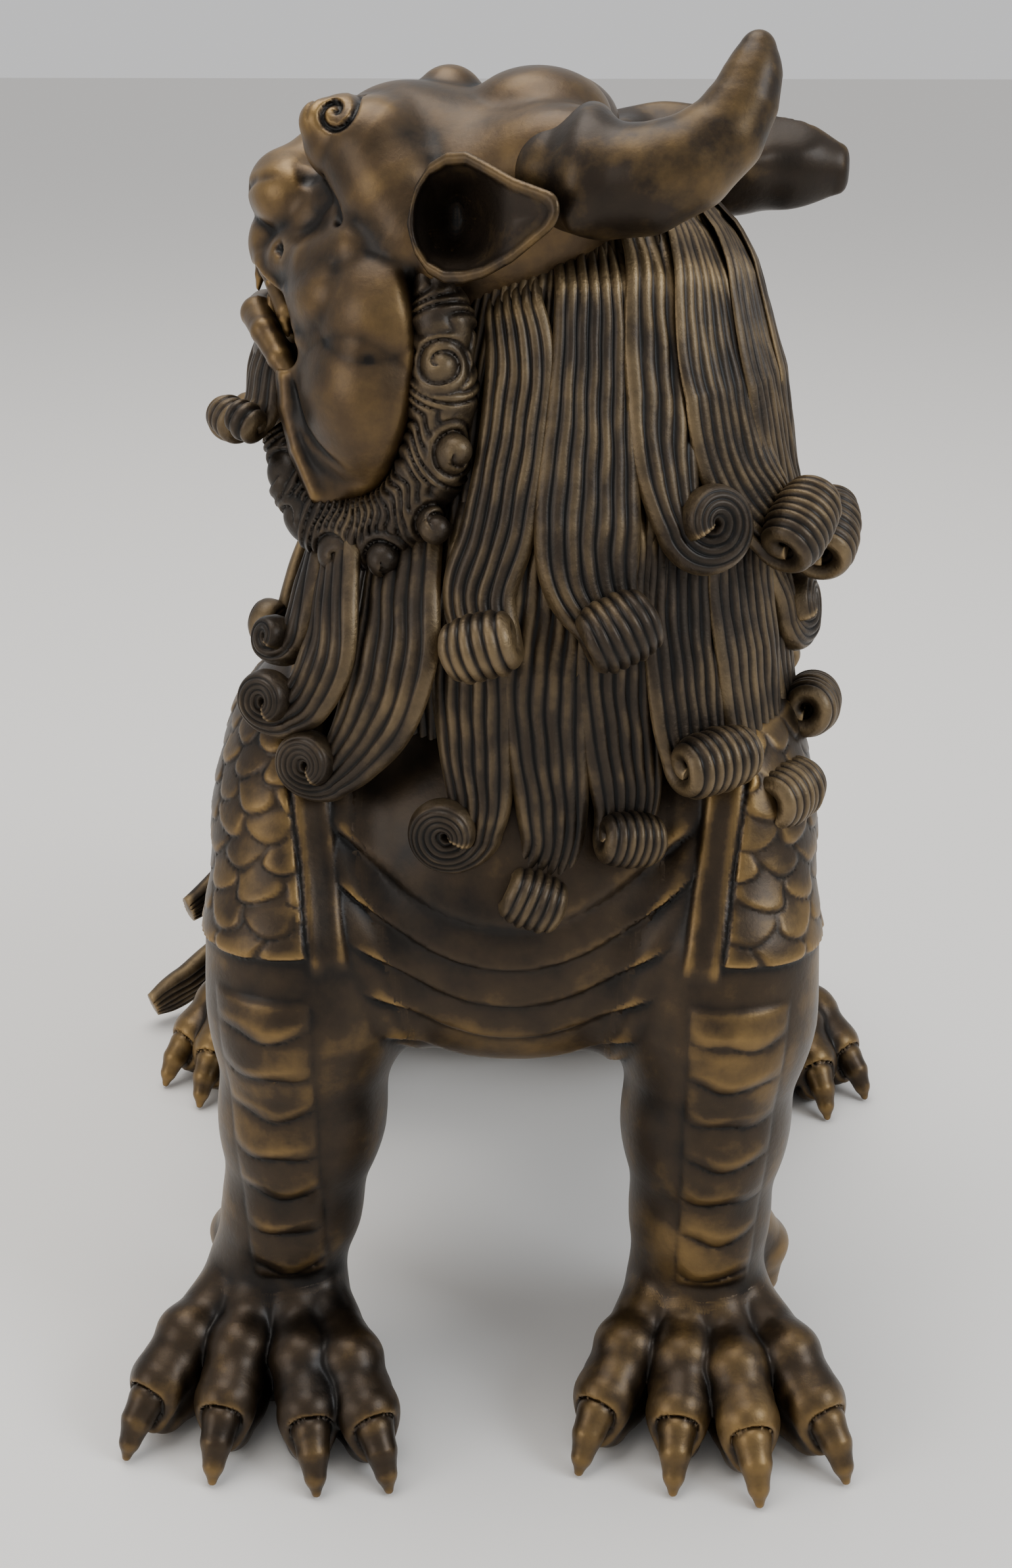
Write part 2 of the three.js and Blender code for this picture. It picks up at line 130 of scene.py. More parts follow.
def sample(field, low, high, step):
    """The field on a grid, computed only in the blocks that its surface passes through."""
    low = np.array(low, np.float32)
    blocks = np.ceil((np.array(high) - low) / (step * BLOCK)).astype(int)
    index = np.indices(blocks).reshape(3, -1).T
    middle = field(low + (index + 0.5).astype(np.float32) * (BLOCK * step))
    reach = BLOCK * step * 1.6 + 2.0
    sign = np.where(middle < 0, -9.0, 9.0).astype(np.float32).reshape(blocks)
    grid = sign.repeat(BLOCK, 0).repeat(BLOCK, 1).repeat(BLOCK, 2)
    grid = np.pad(grid, ((0, 1), (0, 1), (0, 1)), mode="edge")
    corner = np.indices((BLOCK + 1,) * 3).reshape(3, -1).T
    near = index[np.abs(middle) < reach]
    at = (near[:, None] * BLOCK + corner[None]).reshape(-1, 3)
    values = np.concatenate([field(low + part.astype(np.float32) * step) for part in np.array_split(at, 8)])
    grid[at[:, 0], at[:, 1], at[:, 2]] = values
    return grid, low


def surface_net(grid, low, step):
    """Quads round the surface where the grid changes sign, facing out of its negative side."""
    inside = grid < 0
    wide, deep, tall = (size - 1 for size in inside.shape)
    count = sum(inside[i:wide + i, j:deep + j, k:tall + k].astype(np.int8) for i, j, k in CORNERS)
    active = (count > 0) & (count < 8)
    cells = np.argwhere(active)
    at = cells[:, None] + CORNERS[None]
    value = grid[at[..., 0], at[..., 1], at[..., 2]]
    total, crossings = np.zeros((len(cells), 3)), np.zeros(len(cells))
    for a, b in EDGES:
        cross = (value[:, a] < 0) != (value[:, b] < 0)
        t = np.where(cross, value[:, a] / np.where(cross, value[:, a] - value[:, b], 1), 0)
        total += np.where(cross[:, None], CORNERS[a] + t[:, None] * (CORNERS[b] - CORNERS[a]), 0)
        crossings += cross
    points = low + (cells + total / crossings[:, None]) * step
    name = np.full(active.shape, -1)
    name[active] = np.arange(len(cells))
    quads = []
    for axis in range(3):
        second, third = (axis + 1) % 3, (axis + 2) % 3
        here = np.moveaxis(inside, (axis, second, third), (0, 1, 2))
        change = here[:-1, 1:-1, 1:-1] != here[1:, 1:-1, 1:-1]
        i, j, k = np.nonzero(change)
        ids = np.moveaxis(name, (axis, second, third), (0, 1, 2))
        quad = np.stack([ids[i, j, k], ids[i, j + 1, k], ids[i, j + 1, k + 1], ids[i, j, k + 1]], 1)
        outward = here[i, j + 1, k + 1]
        quads.append(np.where(outward[:, None], quad, quad[:, ::-1]))
    return points, np.concatenate(quads)


def settle(points, field, step):
    """Moves the points onto the field's surface."""
    points = points.astype(np.float32)
    reach = 0.3 * step
    for _ in range(2):
        d = field(points)
        slope = np.stack([(field(points + np.float32(reach) * axis) - d) / reach
                          for axis in np.eye(3, dtype=np.float32)], 1)
        move = d[:, None] * slope / np.maximum((slope**2).sum(1), 0.2)[:, None]
        size = np.sqrt((move**2).sum(1, keepdims=True))
        points = points - move * np.minimum(1, 0.6 * step / np.maximum(size, 1e-6))
    return points


def carve(field, low, high, step):
    """Points and quads of a field's surface inside a box."""
    step = step * COARSEN
    grid, low = sample(field, low, high, step)
    points, quads = surface_net(grid, low, step)
    return settle(points, field, step), quads


# ------------ pieces


def gather(index, values, count):
    """Sum of the values that share an index."""
    if values.ndim == 1:
        return np.bincount(index, values, count)
    return np.stack([np.bincount(index, column, count) for column in values.T], 1)


def relief(points, quads, rounds):
    """How far each point stands proud of its smoothed surroundings, in millimetres."""
    a, c = points[quads[:, 2]] - points[quads[:, 0]], points[quads[:, 3]] - points[quads[:, 1]]
    face = np.cross(a, c)
    normal = gather(quads.ravel(), face.repeat(quads.shape[1], 0), len(points))
    normal /= np.maximum(np.sqrt((normal**2).sum(1, keepdims=True)), 1e-9)
    start, end = quads.ravel(), np.roll(quads, -1, 1).ravel()
    number = np.maximum(gather(start, np.ones(len(start)), len(points)), 1)[:, None]
    smooth = points.astype(float)
    for _ in range(2 * rounds):
        smooth = 0.3 * smooth + 0.7 * gather(start, smooth[end], len(points)) / number
    return ((points - smooth) * normal).sum(1)


def add_piece(name, parts, nodes, slot, rounds=8, fade=None):
    """One mesh object from parts of (points, quads), standing for CAD nodes. Its wear is scaled by fade."""
    counts = np.cumsum([0] + [len(points) for points, _ in parts])
    points = np.concatenate([points for points, _ in parts])
    quads = np.concatenate([quads + start for (_, quads), start in zip(parts, counts)])
    mesh = bpy.data.meshes.new(name)
    mesh.vertices.add(len(points))
    mesh.vertices.foreach_set("co", ((points + OFFSET) * MM).astype(np.float32).ravel())
    mesh.loops.add(quads.size)
    mesh.loops.foreach_set("vertex_index", quads.astype(np.int32).ravel())
    mesh.polygons.add(len(quads))
    mesh.polygons.foreach_set("loop_start", np.arange(0, quads.size, 4, dtype=np.int32))
    mesh.polygons.foreach_set("use_smooth", np.ones(len(quads), bool))
    mesh.update(calc_edges=True)
    worn = mesh.attributes.new("worn", "FLOAT", "POINT")
    proud = relief(points, quads, rounds) * (fade(points.astype(np.float32)) if fade else 1)
    worn.data.foreach_set("value", proud.astype(np.float32))
    mesh.materials.append(BRONZES[slot])
    piece = bpy.data.objects.new(name, mesh)
    bpy.context.scene.collection.objects.link(piece)
    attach(piece, "root")
    if nodes:
        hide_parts(*nodes)


def casting(name, parts, slot, rounds=8, fade=None):
    """The piece that replaces the CAD node of that name."""
    add_piece(name + "_casting", parts, [name], slot, rounds, fade)


# ------------ body

LEAN = 3  # the chest stands this far to the lion's left of its paws
BELLY = 71.5  # height of the underside of the chest
LEG_X, LEG_Y = 38, -78
PAW_X, PAW_SHIFT = 41.5, -2
BAND_LOW, BAND_PITCH, BAND_COUNT = 65.0, 7.9, 5  # bands across the chest
SCUTE_TOP, SCUTE_PITCH = 101, 8.8  # plates down the front of a foreleg
PANEL_LOW = 98.5  # lower edge of the scaled panel on a shoulder
SCALE_WIDE, SCALE_TALL, SCALE_ROWS = 6.0, 5.0, 8
SEAM = 1.1  # how far castings reach past their seams, so that no gap shows


def torso_base(p):
    """Chest, loin and rump, hollowed by the arch under the chest."""
    chest = smooth_min(blob(p, (LEAN, -44, 108), (43, 44, 46)), blob(p, (LEAN, -60, 100), (37, 32, 38)), 8)
    loin = blob(p, (LEAN / 2, 14, 98), (42, 54, 49), tilt(-22))
    rump = blob(p, (0, 62, 48), (43, 42, 54), tilt(12))
    arch = BELLY - p[:, 2] - 0.006 * (p[:, 0] - LEAN) ** 2 - 0.5 * np.clip(p[:, 1] + 30, 0, 200)
    return smooth_min(smooth_max(smooth_min(chest, loin, 18), arch, 8), rump, 18)


def foreleg_base(p, s):
    """Shoulder, leg and calf, with the spur behind the ankle."""
    shoulder = blob(p, (LEAN + s * 39.5, -54, 117), (15.5, 29, 27))
    x = LEAN + s * LEG_X
    leg = limb(p, [(x, -68, 112, 15.5), (x, -76, 95, 17), (x, LEG_Y, 82, 17.2),
                   (LEAN / 2 + s * 38.4, LEG_Y, 58, 14.6), (s * 39.6, LEG_Y, 38, 12.2),
                   (paw_x(s, FORE), LEG_Y, 24, 11.8)], 6)
    calf = blob(p, (x - s * 2, -64, 74), (11, 12, 22))
    spur = limb(p, [(s * 50, -69, 30, 5), (s * 53.5, -65, 22, 5), (s * 54, -64, 13, 3.4)], 2)
    return smooth_min(smooth_min(smooth_min(shoulder, leg, 8), calf, 6), spur, 3)


def haunch_base(p, s):
    """Thigh and knee, and the lower leg that lies behind the hind paw."""
    thigh = blob(p, (s * 42, 50, 52), (25, 40, 40), tilt(25))
    knee = blob(p, (s * 52, 24, 50), (15, 17, 19))
    foot = limb(p, [(s * 55, 74, 11, 9), (s * 57, 64, 12, 10.5), (s * 61, 50, 14, 11)], 4)
    return smooth_min(smooth_min(thigh, knee, 8), foot, 5)


# Where a paw stands, how big it is, and its claw tips from the inner to the outer toe, as [outward, ahead].
FORE = {"x": PAW_X, "shift": PAW_SHIFT, "y": -80, "size": 1.0,
        "tips": {1: [(-22.8, 30), (-5.4, 34.8), (10.4, 37.2), (27, 30.5)],
                 -1: [(-25.5, 36), (-12.2, 37.4), (7.6, 35), (25, 29)]}}
HIND = {"x": 64, "shift": 0, "y": 46, "size": 0.98,
        "tips": dict.fromkeys((1, -1), [(-9.5, 28), (2, 31), (13.5, 29), (24, 19)])}


def paw_x(s, paw):
    return s * paw["x"] + paw["shift"]


def toe(p, root, tip, size):
    """A toe with two knuckles and a hood of skin round its claw, whose tip is on the floor."""
    root, tip = np.float32(root), np.float32(tip)
    length = float(np.linalg.norm(tip - root))
    ahead = (tip - root) / length

    def at(back, z, r):
        x, y = tip - ahead * back * size
        return x, y, z * size, r * size

    full = length / size
    flesh = limb(p, [at(full, 19, 6.4), at(full * 0.72, 18.4, 5.6), at(19.5, 17.2, 6.0)], 2)
    flesh = smooth_min(flesh, limb(p, [at(18.6, 16.8, 6.0), at(15.2, 14.2, 5.4)], 1), 2.2)
    flesh = smooth_min(flesh, limb(p, [at(13.2, 12.9, 5.9), at(10.6, 12.0, 5.7)], 1), 1.8)
    pad = limb(p, [at(full * 0.72, 7, 5.8), at(17, 6, 5.0), at(10.8, 5.0, 4.5)], 2)
    flesh = smooth_min(flesh, pad, 2.5)
    back = (tip - p[:, :2]) @ ahead / size
    claw = limb(p, [at(11, 11.2, 3.8), at(7, 10.2, 3.6), at(3.8, 7.4, 3.0), at(1.4, 3.8, 2.0),
                    at(0.3, 1.3, 0.9)], 0.4)
    hood = smooth_max(flesh, 0.4 * size - claw - np.clip(back - 9.4, 0, 9), 0.8)
    from_rim = (back - 8.8 - 0.25 * (p[:, 2] / size - 10)) * size
    lip = np.sqrt((claw - 0.9 * size) ** 2 + from_rim**2) - 0.9 * size
    return np.minimum(smooth_min(hood, lip, 2.2), claw)


def paw_base(p, s, paw):
    """Ball and heel of a paw with four toes spread from them."""
    x, y, size = paw_x(s, paw), paw["y"], paw["size"]
    sole = blob(p, (x, y - 1, 8 * size), (17 * size, 14 * size, 11 * size))
    heel = limb(p, [(x, y + 3, 20 * size, 11.5 * size), (x, y + 2, 10 * size, 12 * size)], 2)
    paw_mass = smooth_min(sole, heel, 5)
    for out, ahead in paw["tips"][s]:
        root = (x + s * out * 0.24, y + 2)
        paw_mass = smooth_min(paw_mass, toe(p, root, (x + s * out, y - ahead), size), 1.2)
    return paw_mass


def strap_x(p):
    """How far out from the middle of the chest the straps run."""
    return 31.6 + (p[:, 2] - 97) * 0.13 + np.where(p[:, 0] > LEAN, 2.2, 0)


def chest_bands(p, torso):
    """Overlapping bands across the chest, each thickest at its lower edge, and smooth skin above them."""
    x = p[:, 0] - LEAN
    height = (p[:, 2] - 0.0147 * x * x - BAND_LOW) / BAND_PITCH
    step = np.where(height > BAND_COUNT, (height - BAND_COUNT) / 3, height - np.floor(height))
    roll = np.clip(1 - step, 0, 1) ** 0.8 * np.clip(step / 0.09, 0, 1) ** 0.7
    half = strap_x(p) - 3.4 - 0.55 * np.clip(88 - p[:, 2], 0, 30)
    where = bump(np.abs(x), -1, half, 1.6) * bump(torso, -99, 4, 4) * bump(p[:, 1], -200, -52, 8)
    return 1.2 * roll * where


def straps(p):
    """Raised strap beside the bands on either side, with a bead along both its edges."""
    u = np.abs(np.abs(p[:, 0] - LEAN) - strap_x(p))
    band = 0.4 * bump(u, -1, 2.6, 1.2) + 0.25 * np.exp(-(((u - 2.2) / 0.9) ** 2))
    return band * bump(p[:, 1], -200, -60, 4) * bump(p[:, 2], PANEL_LOW + 0.5, 150, 4)


def scutes(p, s):
    """Cushioned plates down the front of a foreleg, each thickest at its lower edge."""
    down = (SCUTE_TOP - p[:, 2]) / SCUTE_PITCH
    middle = LEAN / 2 + s * (43.0 - 0.35 * down)
    across = (p[:, 0] - middle) / (9.4 - 0.3 * down)
    count = down + 0.20 * across * across + 0.06 * np.sin(3 * down + p[:, 0] * 0.5)
    step = count - np.floor(count)
    cushion = (0.3 + 0.7 * step) * np.clip((1 - step) / 0.3, 0, 1) ** 0.6
    side = np.clip(1 - across * across, 0, 1) ** 0.6
    where = bump(p[:, 1], -200, -84, 4) * bump(p[:, 2], 31, 90, 2)
    return 1.5 * cushion * side * where


def shoulder_scales(p, s):
    """Overlapping scales on the outside of a shoulder, on a panel that stands proud of the leg."""
    x, y = s * (p[:, 0] - LEAN), p[:, 1]
    along = np.arctan2(-(y + 54), x - 18) * 27 + 0.5 * np.sin(p[:, 2] * 0.9)
    up = p[:, 2] - PANEL_LOW - 0.004 * (along - 14) ** 2
    best = np.zeros(len(p), np.float32)
    covered = np.zeros(len(p), bool)
    for row in range(SCALE_ROWS - 1, -1, -1):
        middle = row * SCALE_TALL + 3.0
        cell = along / SCALE_WIDE - 0.5 * (row % 2)
        off = (cell - np.round(cell)) * SCALE_WIDE
        r = np.sqrt((off / (SCALE_WIDE * 0.55)) ** 2 + ((up - middle) / SCALE_TALL) ** 2)
        hit = (r < 1) & ~covered & (up < middle + SCALE_TALL * 0.9)
        lift = 0.35 + 0.65 * np.clip(0.4 - (up - middle) / SCALE_TALL, 0, 1)
        uneven = 1 + 0.25 * np.sin(np.round(cell) * 3.7 + row * 2.1)
        best = np.where(hit, lift * uneven * np.clip((1 - r) / 0.2, 0, 1) ** 0.6, best)
        covered |= hit
    panel = bump(up, 0, 38, 0.8) * bump(x, strap_x(p) + 4.4, 99, 1.2) * bump(p[:, 1], -200, -30, 1.5)
    return (0.5 + 0.6 * best) * panel


def spine(p):
    """A row of knobs down the middle of the back."""
    knob = np.abs(np.sin(np.pi * (p[:, 1] + 0.6 * p[:, 2]) / 11)) ** 0.7
    middle = np.exp(-((p[:, 0] - 1) / 4.2) ** 2)
    return 2.2 * knob * middle * bump(p[:, 1], 0, 200, 4) * bump(p[:, 2], 40, 200, 6)


# Each casting of the body: its own shape, the castings it meets and how softly they blend.
BODY = {"torso_shell": (torso_base, {})}
for side, s in SIDES.items():
    BODY["torso_shell"][1][f"{side}_foreleg"] = 7
    BODY["torso_shell"][1][f"{side}_haunch"] = 7
    BODY[f"{side}_foreleg"] = (lambda p, s=s: foreleg_base(p, s), {"torso_shell": 7, f"{side}_fore_paw": 8})
    BODY[f"{side}_haunch"] = (lambda p, s=s: haunch_base(p, s), {"torso_shell": 7, f"{side}_hind_paw": 4})
    BODY[f"{side}_fore_paw"] = (lambda p, s=s: paw_base(p, s, FORE), {f"{side}_foreleg": 8})
    BODY[f"{side}_hind_paw"] = (lambda p, s=s: paw_base(p, s, HIND), {f"{side}_haunch": 4})


def body_fields(name):
    """The casting's field, and a fade that is 0 at its seams."""
    shape, neighbours = BODY[name]

    def parts(p):
        own = shape(p)
        skin, share = own, np.full(len(p), -99, np.float32)
        torso = own if name == "torso_shell" else np.full(len(p), 99, np.float32)
        for other, blend in neighbours.items():
            d = BODY[other][0](p)
            skin = smooth_min(skin, d, blend)
            share = np.maximum(share, 0.5 * (own - d) - SEAM)
            torso = d if other == "torso_shell" else torso
        return skin, share, torso

    def field(p):
        skin, share, torso = parts(p)
        if not name.endswith("paw"):
            carved = np.maximum(chest_bands(p, torso), np.maximum(straps(p), spine(p)))
            for s in SIDES.values():
                carved = np.maximum(carved, np.maximum(scutes(p, s), shoulder_scales(p, s)))
            skin = skin - carved
        return smooth_max(smooth_max(skin, share, 0.4), -p[:, 2], 0.6)

    def fade(p):
        return np.clip(-parts(p)[1] / 1.6 - 0.2, 0, 1)

    return field, fade


# ------------ head

HEAD_AT = np.array([-8.0, -45.0, 212.0])
HEAD_TURN, HEAD_ROLL = math.radians(10), math.radians(7)
FORWARD = np.array([-math.cos(HEAD_TURN), math.sin(HEAD_TURN), 0])
HEAD_LEFT = np.array([-math.sin(HEAD_TURN), -math.cos(HEAD_TURN), 0]) * math.cos(HEAD_ROLL)
HEAD_LEFT = HEAD_LEFT + (0, 0, math.sin(HEAD_ROLL))
HEAD_UP = np.cross(FORWARD, HEAD_LEFT)
HEAD_AXES = np.stack([FORWARD, HEAD_LEFT, HEAD_UP], 1)


def in_head(forward, left, up):
    """Point in the sculpting frame given as forward, left and up from the middle of the head."""
    return HEAD_AT + HEAD_AXES @ np.array([forward, left, up], float)


def to_head(p):
    return ((p - HEAD_AT) @ HEAD_AXES).astype(np.float32)


def folded(q):
    """Head points folded onto the near half, since the face is the same on both sides."""
    return np.stack([q[:, 0], np.sqrt(q[:, 1] ** 2 + 0.3), q[:, 2]], 1)


def mirrored(q, s):
    """Head points on side s, seen as if they were on the lion's left."""
    return np.stack([q[:, 0], q[:, 1] * s, q[:, 2]], 1)


def groove(p, knots, depth, width):
    """Depth of an engraved line through knots of (x, y, z)."""
    d = limb(p, [(*k, 0) for k in knots], 0.3)
    return depth * np.exp(-((d / width) ** 2))


def head_skull(f):
    """Skull and forehead, with its knob and the swellings before the horns."""
    skull = smooth_min(blob(f, (-10, 0, 9), (26, 27, 21)), blob(f, (5, 0, -8), (20, 22, 24)), 8)
    skull = smooth_min(skull, blob(f, (7, 6, 19.5), (14, 15, 11.4)), 6)
    dome = smooth_min(blob(f, (1.6, 0, 27), (6.6, 7, 7)), blob(f, (-15, 4, 25), (12.5, 12, 8.6)), 0.6)
    skull = smooth_min(skull, dome, 1.6)
    return smooth_min(skull, blob(f, (-22, 18, 17), (12, 9, 9.5)), 5)


def brow_shape(f):
    """The heavy brow, from the knob at its front to the root of the ear."""
    brow = limb(f, [(15, 17.6, 20.4, 7.4), (10, 17.8, 18.0, 9.4), (6.0, 19.2, 12.0, 9.6),
                    (1.5, 21.4, 5.2, 8.4), (-3, 23, 2, 6)], 0.5)
    return smooth_min(brow, blob(f, (18.6, 20.6, 22.9), (3.7, 3.9, 3.7)), 1.2)


def brow_curl(f):
    """A spiral groove round the knob at the end of the brow."""
    a, b = f[:, 0] - 15.4, f[:, 2] - 24.4
    r = np.sqrt(a * a + b * b)
    spiral = np.cos(2 * np.pi * r / 3.0 + np.arctan2(b, a) + 2.0)
    return 1.0 * np.clip(spiral, 0, 1) * bump(r, -1, 3.9, 1.2) * bump(f[:, 1], 17, 60, 2)


def nose_shape(f):
    """The nose and its bridge, with the crease over its wing and the nostril."""
    wing = blob(f, (27, 10.5, 11.4), (6.6, 5.4, 6))
    ball = smooth_min(blob(f, (28.6, 5.6, 12.2), (7.7, 7.6, 7.6)), wing, 2)
    lobe = blob(f, (31.6, 4.6, 3.4), (4.9, 6.4, 5.2))
    bridge = limb(f, [(24, 0, 17.5, 6.4), (13, 0, 22, 8)], 3)
    nose = smooth_min(smooth_min(ball, lobe, 0.8), bridge, 4)
    nose = nose + groove(f, [(35.6, 8, 12.6), (32.6, 13.4, 14.2), (28, 16.2, 15.0)], 0.7, 0.8)
    return smooth_max(nose, -blob(f, (35.0, 3.8, 7.4), (2.4, 2.0, 1.8)), 0.8)


def puff(f, forward, up, long, tall, height):
    """A low dome on the side of the face."""
    r2 = ((f[:, 0] - forward) / long) ** 2 + ((f[:, 2] - up) / tall) ** 2
    return height * np.clip(1 - r2, 0, 1) ** 1.2


CHEEK_AT, CHEEK_SIZE = (14.0, -14.6), (14.2, 25.0)  # outline of the cheek plate, as [forward, up]


def cheek_shape(f):
    """The puffed cheek plate: its front runs into the lips, its back edge stands clear of the ruff."""
    pillow = blob(f, (6, 7.4, -15), (21.0, 23.0, 36))
    ahead, up = f[:, 0] - CHEEK_AT[0], f[:, 2] - CHEEK_AT[1]
    r = np.sqrt((ahead / CHEEK_SIZE[0]) ** 2 + (up / CHEEK_SIZE[1]) ** 2)
    edge = np.where(ahead > 0, np.maximum(np.abs(up) - CHEEK_SIZE[1], -17), (r - 1) * 17)
    puffs = puff(f, 9.0, -14.0, 15.0, 22.0, 1.2) + puff(f, 7.5, -6.4, 10.5, 9.0, 2.2)
    puffs = puffs + puff(f, 11.0, -23.6, 12.5, 12.5, 2.8)
    puffs = smooth_max(puffs, puff(f, 20.0, -4.0, 10.0, 7.4, 2.8), 0.8)
    pit = groove(f, [(22.0, 20, -5.0), (20.6, 21.5, -6.4)], 1.1, 0.9)
    pit += groove(f, [(14, 28, -13.2), (10, 30, -13.8), (7, 31, -14.6)], 0.9, 1.4)
    fold = groove(f, [(24, 20, -18), (20.5, 24, -27.5), (13, 28, -34.6)], 1.3, 1.0)
    fold += groove(f, [(24.5, 20, -24), (20, 23.5, -33), (14, 26.5, -37)], 0.9, 0.9)
    fold -= groove(f, [(25, 20, -12.4), (20.5, 23.5, -13.0), (17, 26, -15), (16, 27, -18)], 0.9, 0.9)
    fold -= groove(f, [(26, 19, -4), (22, 22, -8), (24.5, 20, -12)], 0.7, 1.0)
    return smooth_max(pillow - puffs + pit + fold, edge, 1.8)


# Knots along the upper lip, and knots with radii along the slit of the mouth.
LIP = [(33.6, 7, 5.5), (31.6, 12, -0.5), (27.2, 16.4, -7.0), (25.0, 18.8, -13), (24.8, 19.8, -19),
       (24.4, 20.4, -24), (22.2, 21.4, -31), (18.6, 22.4, -38.6)]
MOUTH = [(44, 0, -2.8, 2.6), (34.5, 0, -3.8, 3.2), (29, 0, -8.4, 4.0), (25.5, 0, -14.5, 3.2)]

# Distances back from the front rim of an ear, and its upper and lower outline there.
EAR_BACK = [-1.0, 0.6, 3, 6, 9.5, 13, 18, 25.6]
EAR_TOP = [7.0, 12.6, 16.0, 17.6, 17.8, 16.2, 13.8, 11.4]
EAR_BOTTOM = [6.6, 2.4, -0.6, -2.0, -1.9, -1.0, 1.6, 7.4]


def ear_shape(f):
    """The ear's leaf outline, the distance below its rim, and the hollow in it, deep at the front."""
    back, out, up = -f[:, 0], f[:, 1], f[:, 2]
    top = np.interp(back, EAR_BACK, EAR_TOP).astype(np.float32)
    bottom = np.interp(back, EAR_BACK, EAR_BOTTOM).astype(np.float32)
    leaf = smooth_max(0.85 * np.maximum(up - top, bottom - up), np.maximum(-1.0 - back, back - 25.6), 2.0)
    below = 31.4 + 0.34 * back - 0.004 * (up - 8) ** 2 - out
    deep = 1.4 + 9.5 * bump(back, -20, 5, 13)
    hollow = smooth_max(leaf + 1.2 + 0.5 * below, below - deep, 4)
    return leaf, below, deep, smooth_max(hollow, -below - 1.5, 0.5)


def ear_field(s):
    """A leaf-shaped cup with a thick rim and its tip to the back."""
    def field(p):
        leaf, below, deep, hollow = ear_shape(mirrored(to_head(p), s))
        outside = smooth_max(smooth_max(leaf + 0.22 * below, -below, 1.0), below - deep - 2.0, 2.5)
        rim = np.sqrt((leaf + 0.6) ** 2 + below**2) - 0.75
        return smooth_min(smooth_max(outside, -hollow, 0.7), rim, 0.8)

    return field


def head_field(p):
    f = folded(to_head(p))
    muzzle = smooth_min(blob(f, (19, 0, 0), (14.5, 17.5, 12)), blob(f, (20, 9, 6), (9, 8.5, 10)), 3)
    face = smooth_min(head_skull(f), muzzle, 4)
    face = smooth_min(face, cheek_shape(f), 1.6)
    face = smooth_min(face, limb(f, [(a - 1.2, b - 2.9, c, 3.9) for a, b, c in LIP], 0.5), 3.5)
    cheekbone = limb(f, [(26.5, 13.5, 0.8, 3.6), (19.5, 19.5, 0.2, 4.4), (11.5, 23.5, 2.6, 4.4)], 0.5)
    face = smooth_min(face, cheekbone, 2.6)
    face = smooth_min(face, brow_shape(f), 2.2) + brow_curl(f)
    face = face + groove(f, [(18, 19, 18), (16, 21, 11), (13, 24, 4.5), (9.5, 27, -0.4)], 1.1, 1.2)
    face = smooth_min(face, blob(f, (16.6, 13.0, 10.4), (5.0, 5.0, 5.0)), 1.2)
    face = smooth_min(face, nose_shape(f), 1.4)
    face = face + groove(f, [(23.5, 10, 19.6), (24.4, 13.6, 17.4), (23.0, 14.6, 14.4)], 2.2, 1.2)
    lips = np.minimum(limb(f, [(a + 0.3, b + 0.5, c, 0.8) for a, b, c in LIP], 0.3),
                      limb(f, [(a + 1.5, b - 2.2, c - 1.6, 0.7) for a, b, c in LIP[:5]], 0.3))
    face = smooth_min(face, lips, 1.6)
    face = face + groove(f, [(27.2, 16.2, 2.4), (26.0, 17.4, 1.4)], 1.3, 0.9)
    slit = limb(f * np.float32((1, 0, 1)), MOUTH, 0.5)
    behind = blob(f, (27, 0, -17), (13, 15.5, 8.5))
    return smooth_max(smooth_max(face, -smooth_min(slit, behind, 2), 0.8), -ear_shape(f)[3], 0.5)


def jaw_field(p):
    """The lower jaw: a bowl with a rolled lip."""
    f = folded(to_head(p))
    lip = limb(f, [(24.6, 17.8, -19.6, 1.8), (27.4, 16.6, -16.0, 2.1), (31, 13.6, -11.6, 2.5),
                   (34.2, 8.0, -8.8, 3.0), (35.4, 0, -8.0, 3.3)], 0.5)
    bowl = blob(f, (26, 0, -16), (11, 14, 8))
    jaw = smooth_min(bowl, lip, 3)
    jaw = jaw + groove(f, [(37.6, 0, -9.4), (36, 8, -11), (31, 14.5, -15)], 0.7, 0.7)
    return smooth_max(jaw, -blob(f, (26, 0, -9.2), (8.5, 10.5, 6)), 1.5)


def tooth(f, base, tip, radius):
    return limb(f, np.linspace([*base, radius], [*tip, radius * 0.25], 3), 0.5)


def teeth_field(p):
    """Teeth of both jaws and the tongue between them."""
    q = to_head(p)
    f = folded(q)
    upper_fang = tooth(f, (33.6, 6.6, 0.4), (34.6, 6.6, -4.6), 1.5)
    lower_fang = tooth(f, (31.2, 8.8, -8.4), (31.4, 8.6, -3.6), 1.3)
    total = np.minimum(upper_fang, lower_fang)
    for k in range(2):
        left = 1.2 + 2.3 * k
        total = np.minimum(total, tooth(f, (34.6, left, 0.2), (35.2, left, -2.4), 1.1))
    for k in range(3):
        root = (30.6 - 1.7 * k, 11.2 + 1.4 * k, -3.4 - 3 * k)
        tip = (30 - 1.7 * k, 10.6 + 1.4 * k, -7 - 3 * k)
        total = np.minimum(total, tooth(f, root, tip, 1.1))
    gum = limb(f, [(33, 0, 1.0, 2.2), (31.6, 8, -0.6, 2.2), (27, 13, -8, 2.2)], 1)
    roots = limb(f, [(32.4, 0, -9.2, 2.0), (30, 9, -11.4, 2.0), (26, 12.5, -16, 2.0)], 1)
    tongue = blob(q, (25, 0, -9.6), (9.5, 6.0, 2.6)) + groove(q, [(34, 0, -7.2), (18, 0, -7.2)], 0.5, 0.7)
    return smooth_min(np.minimum(np.minimum(total, gum), roots), tongue, 0.6)


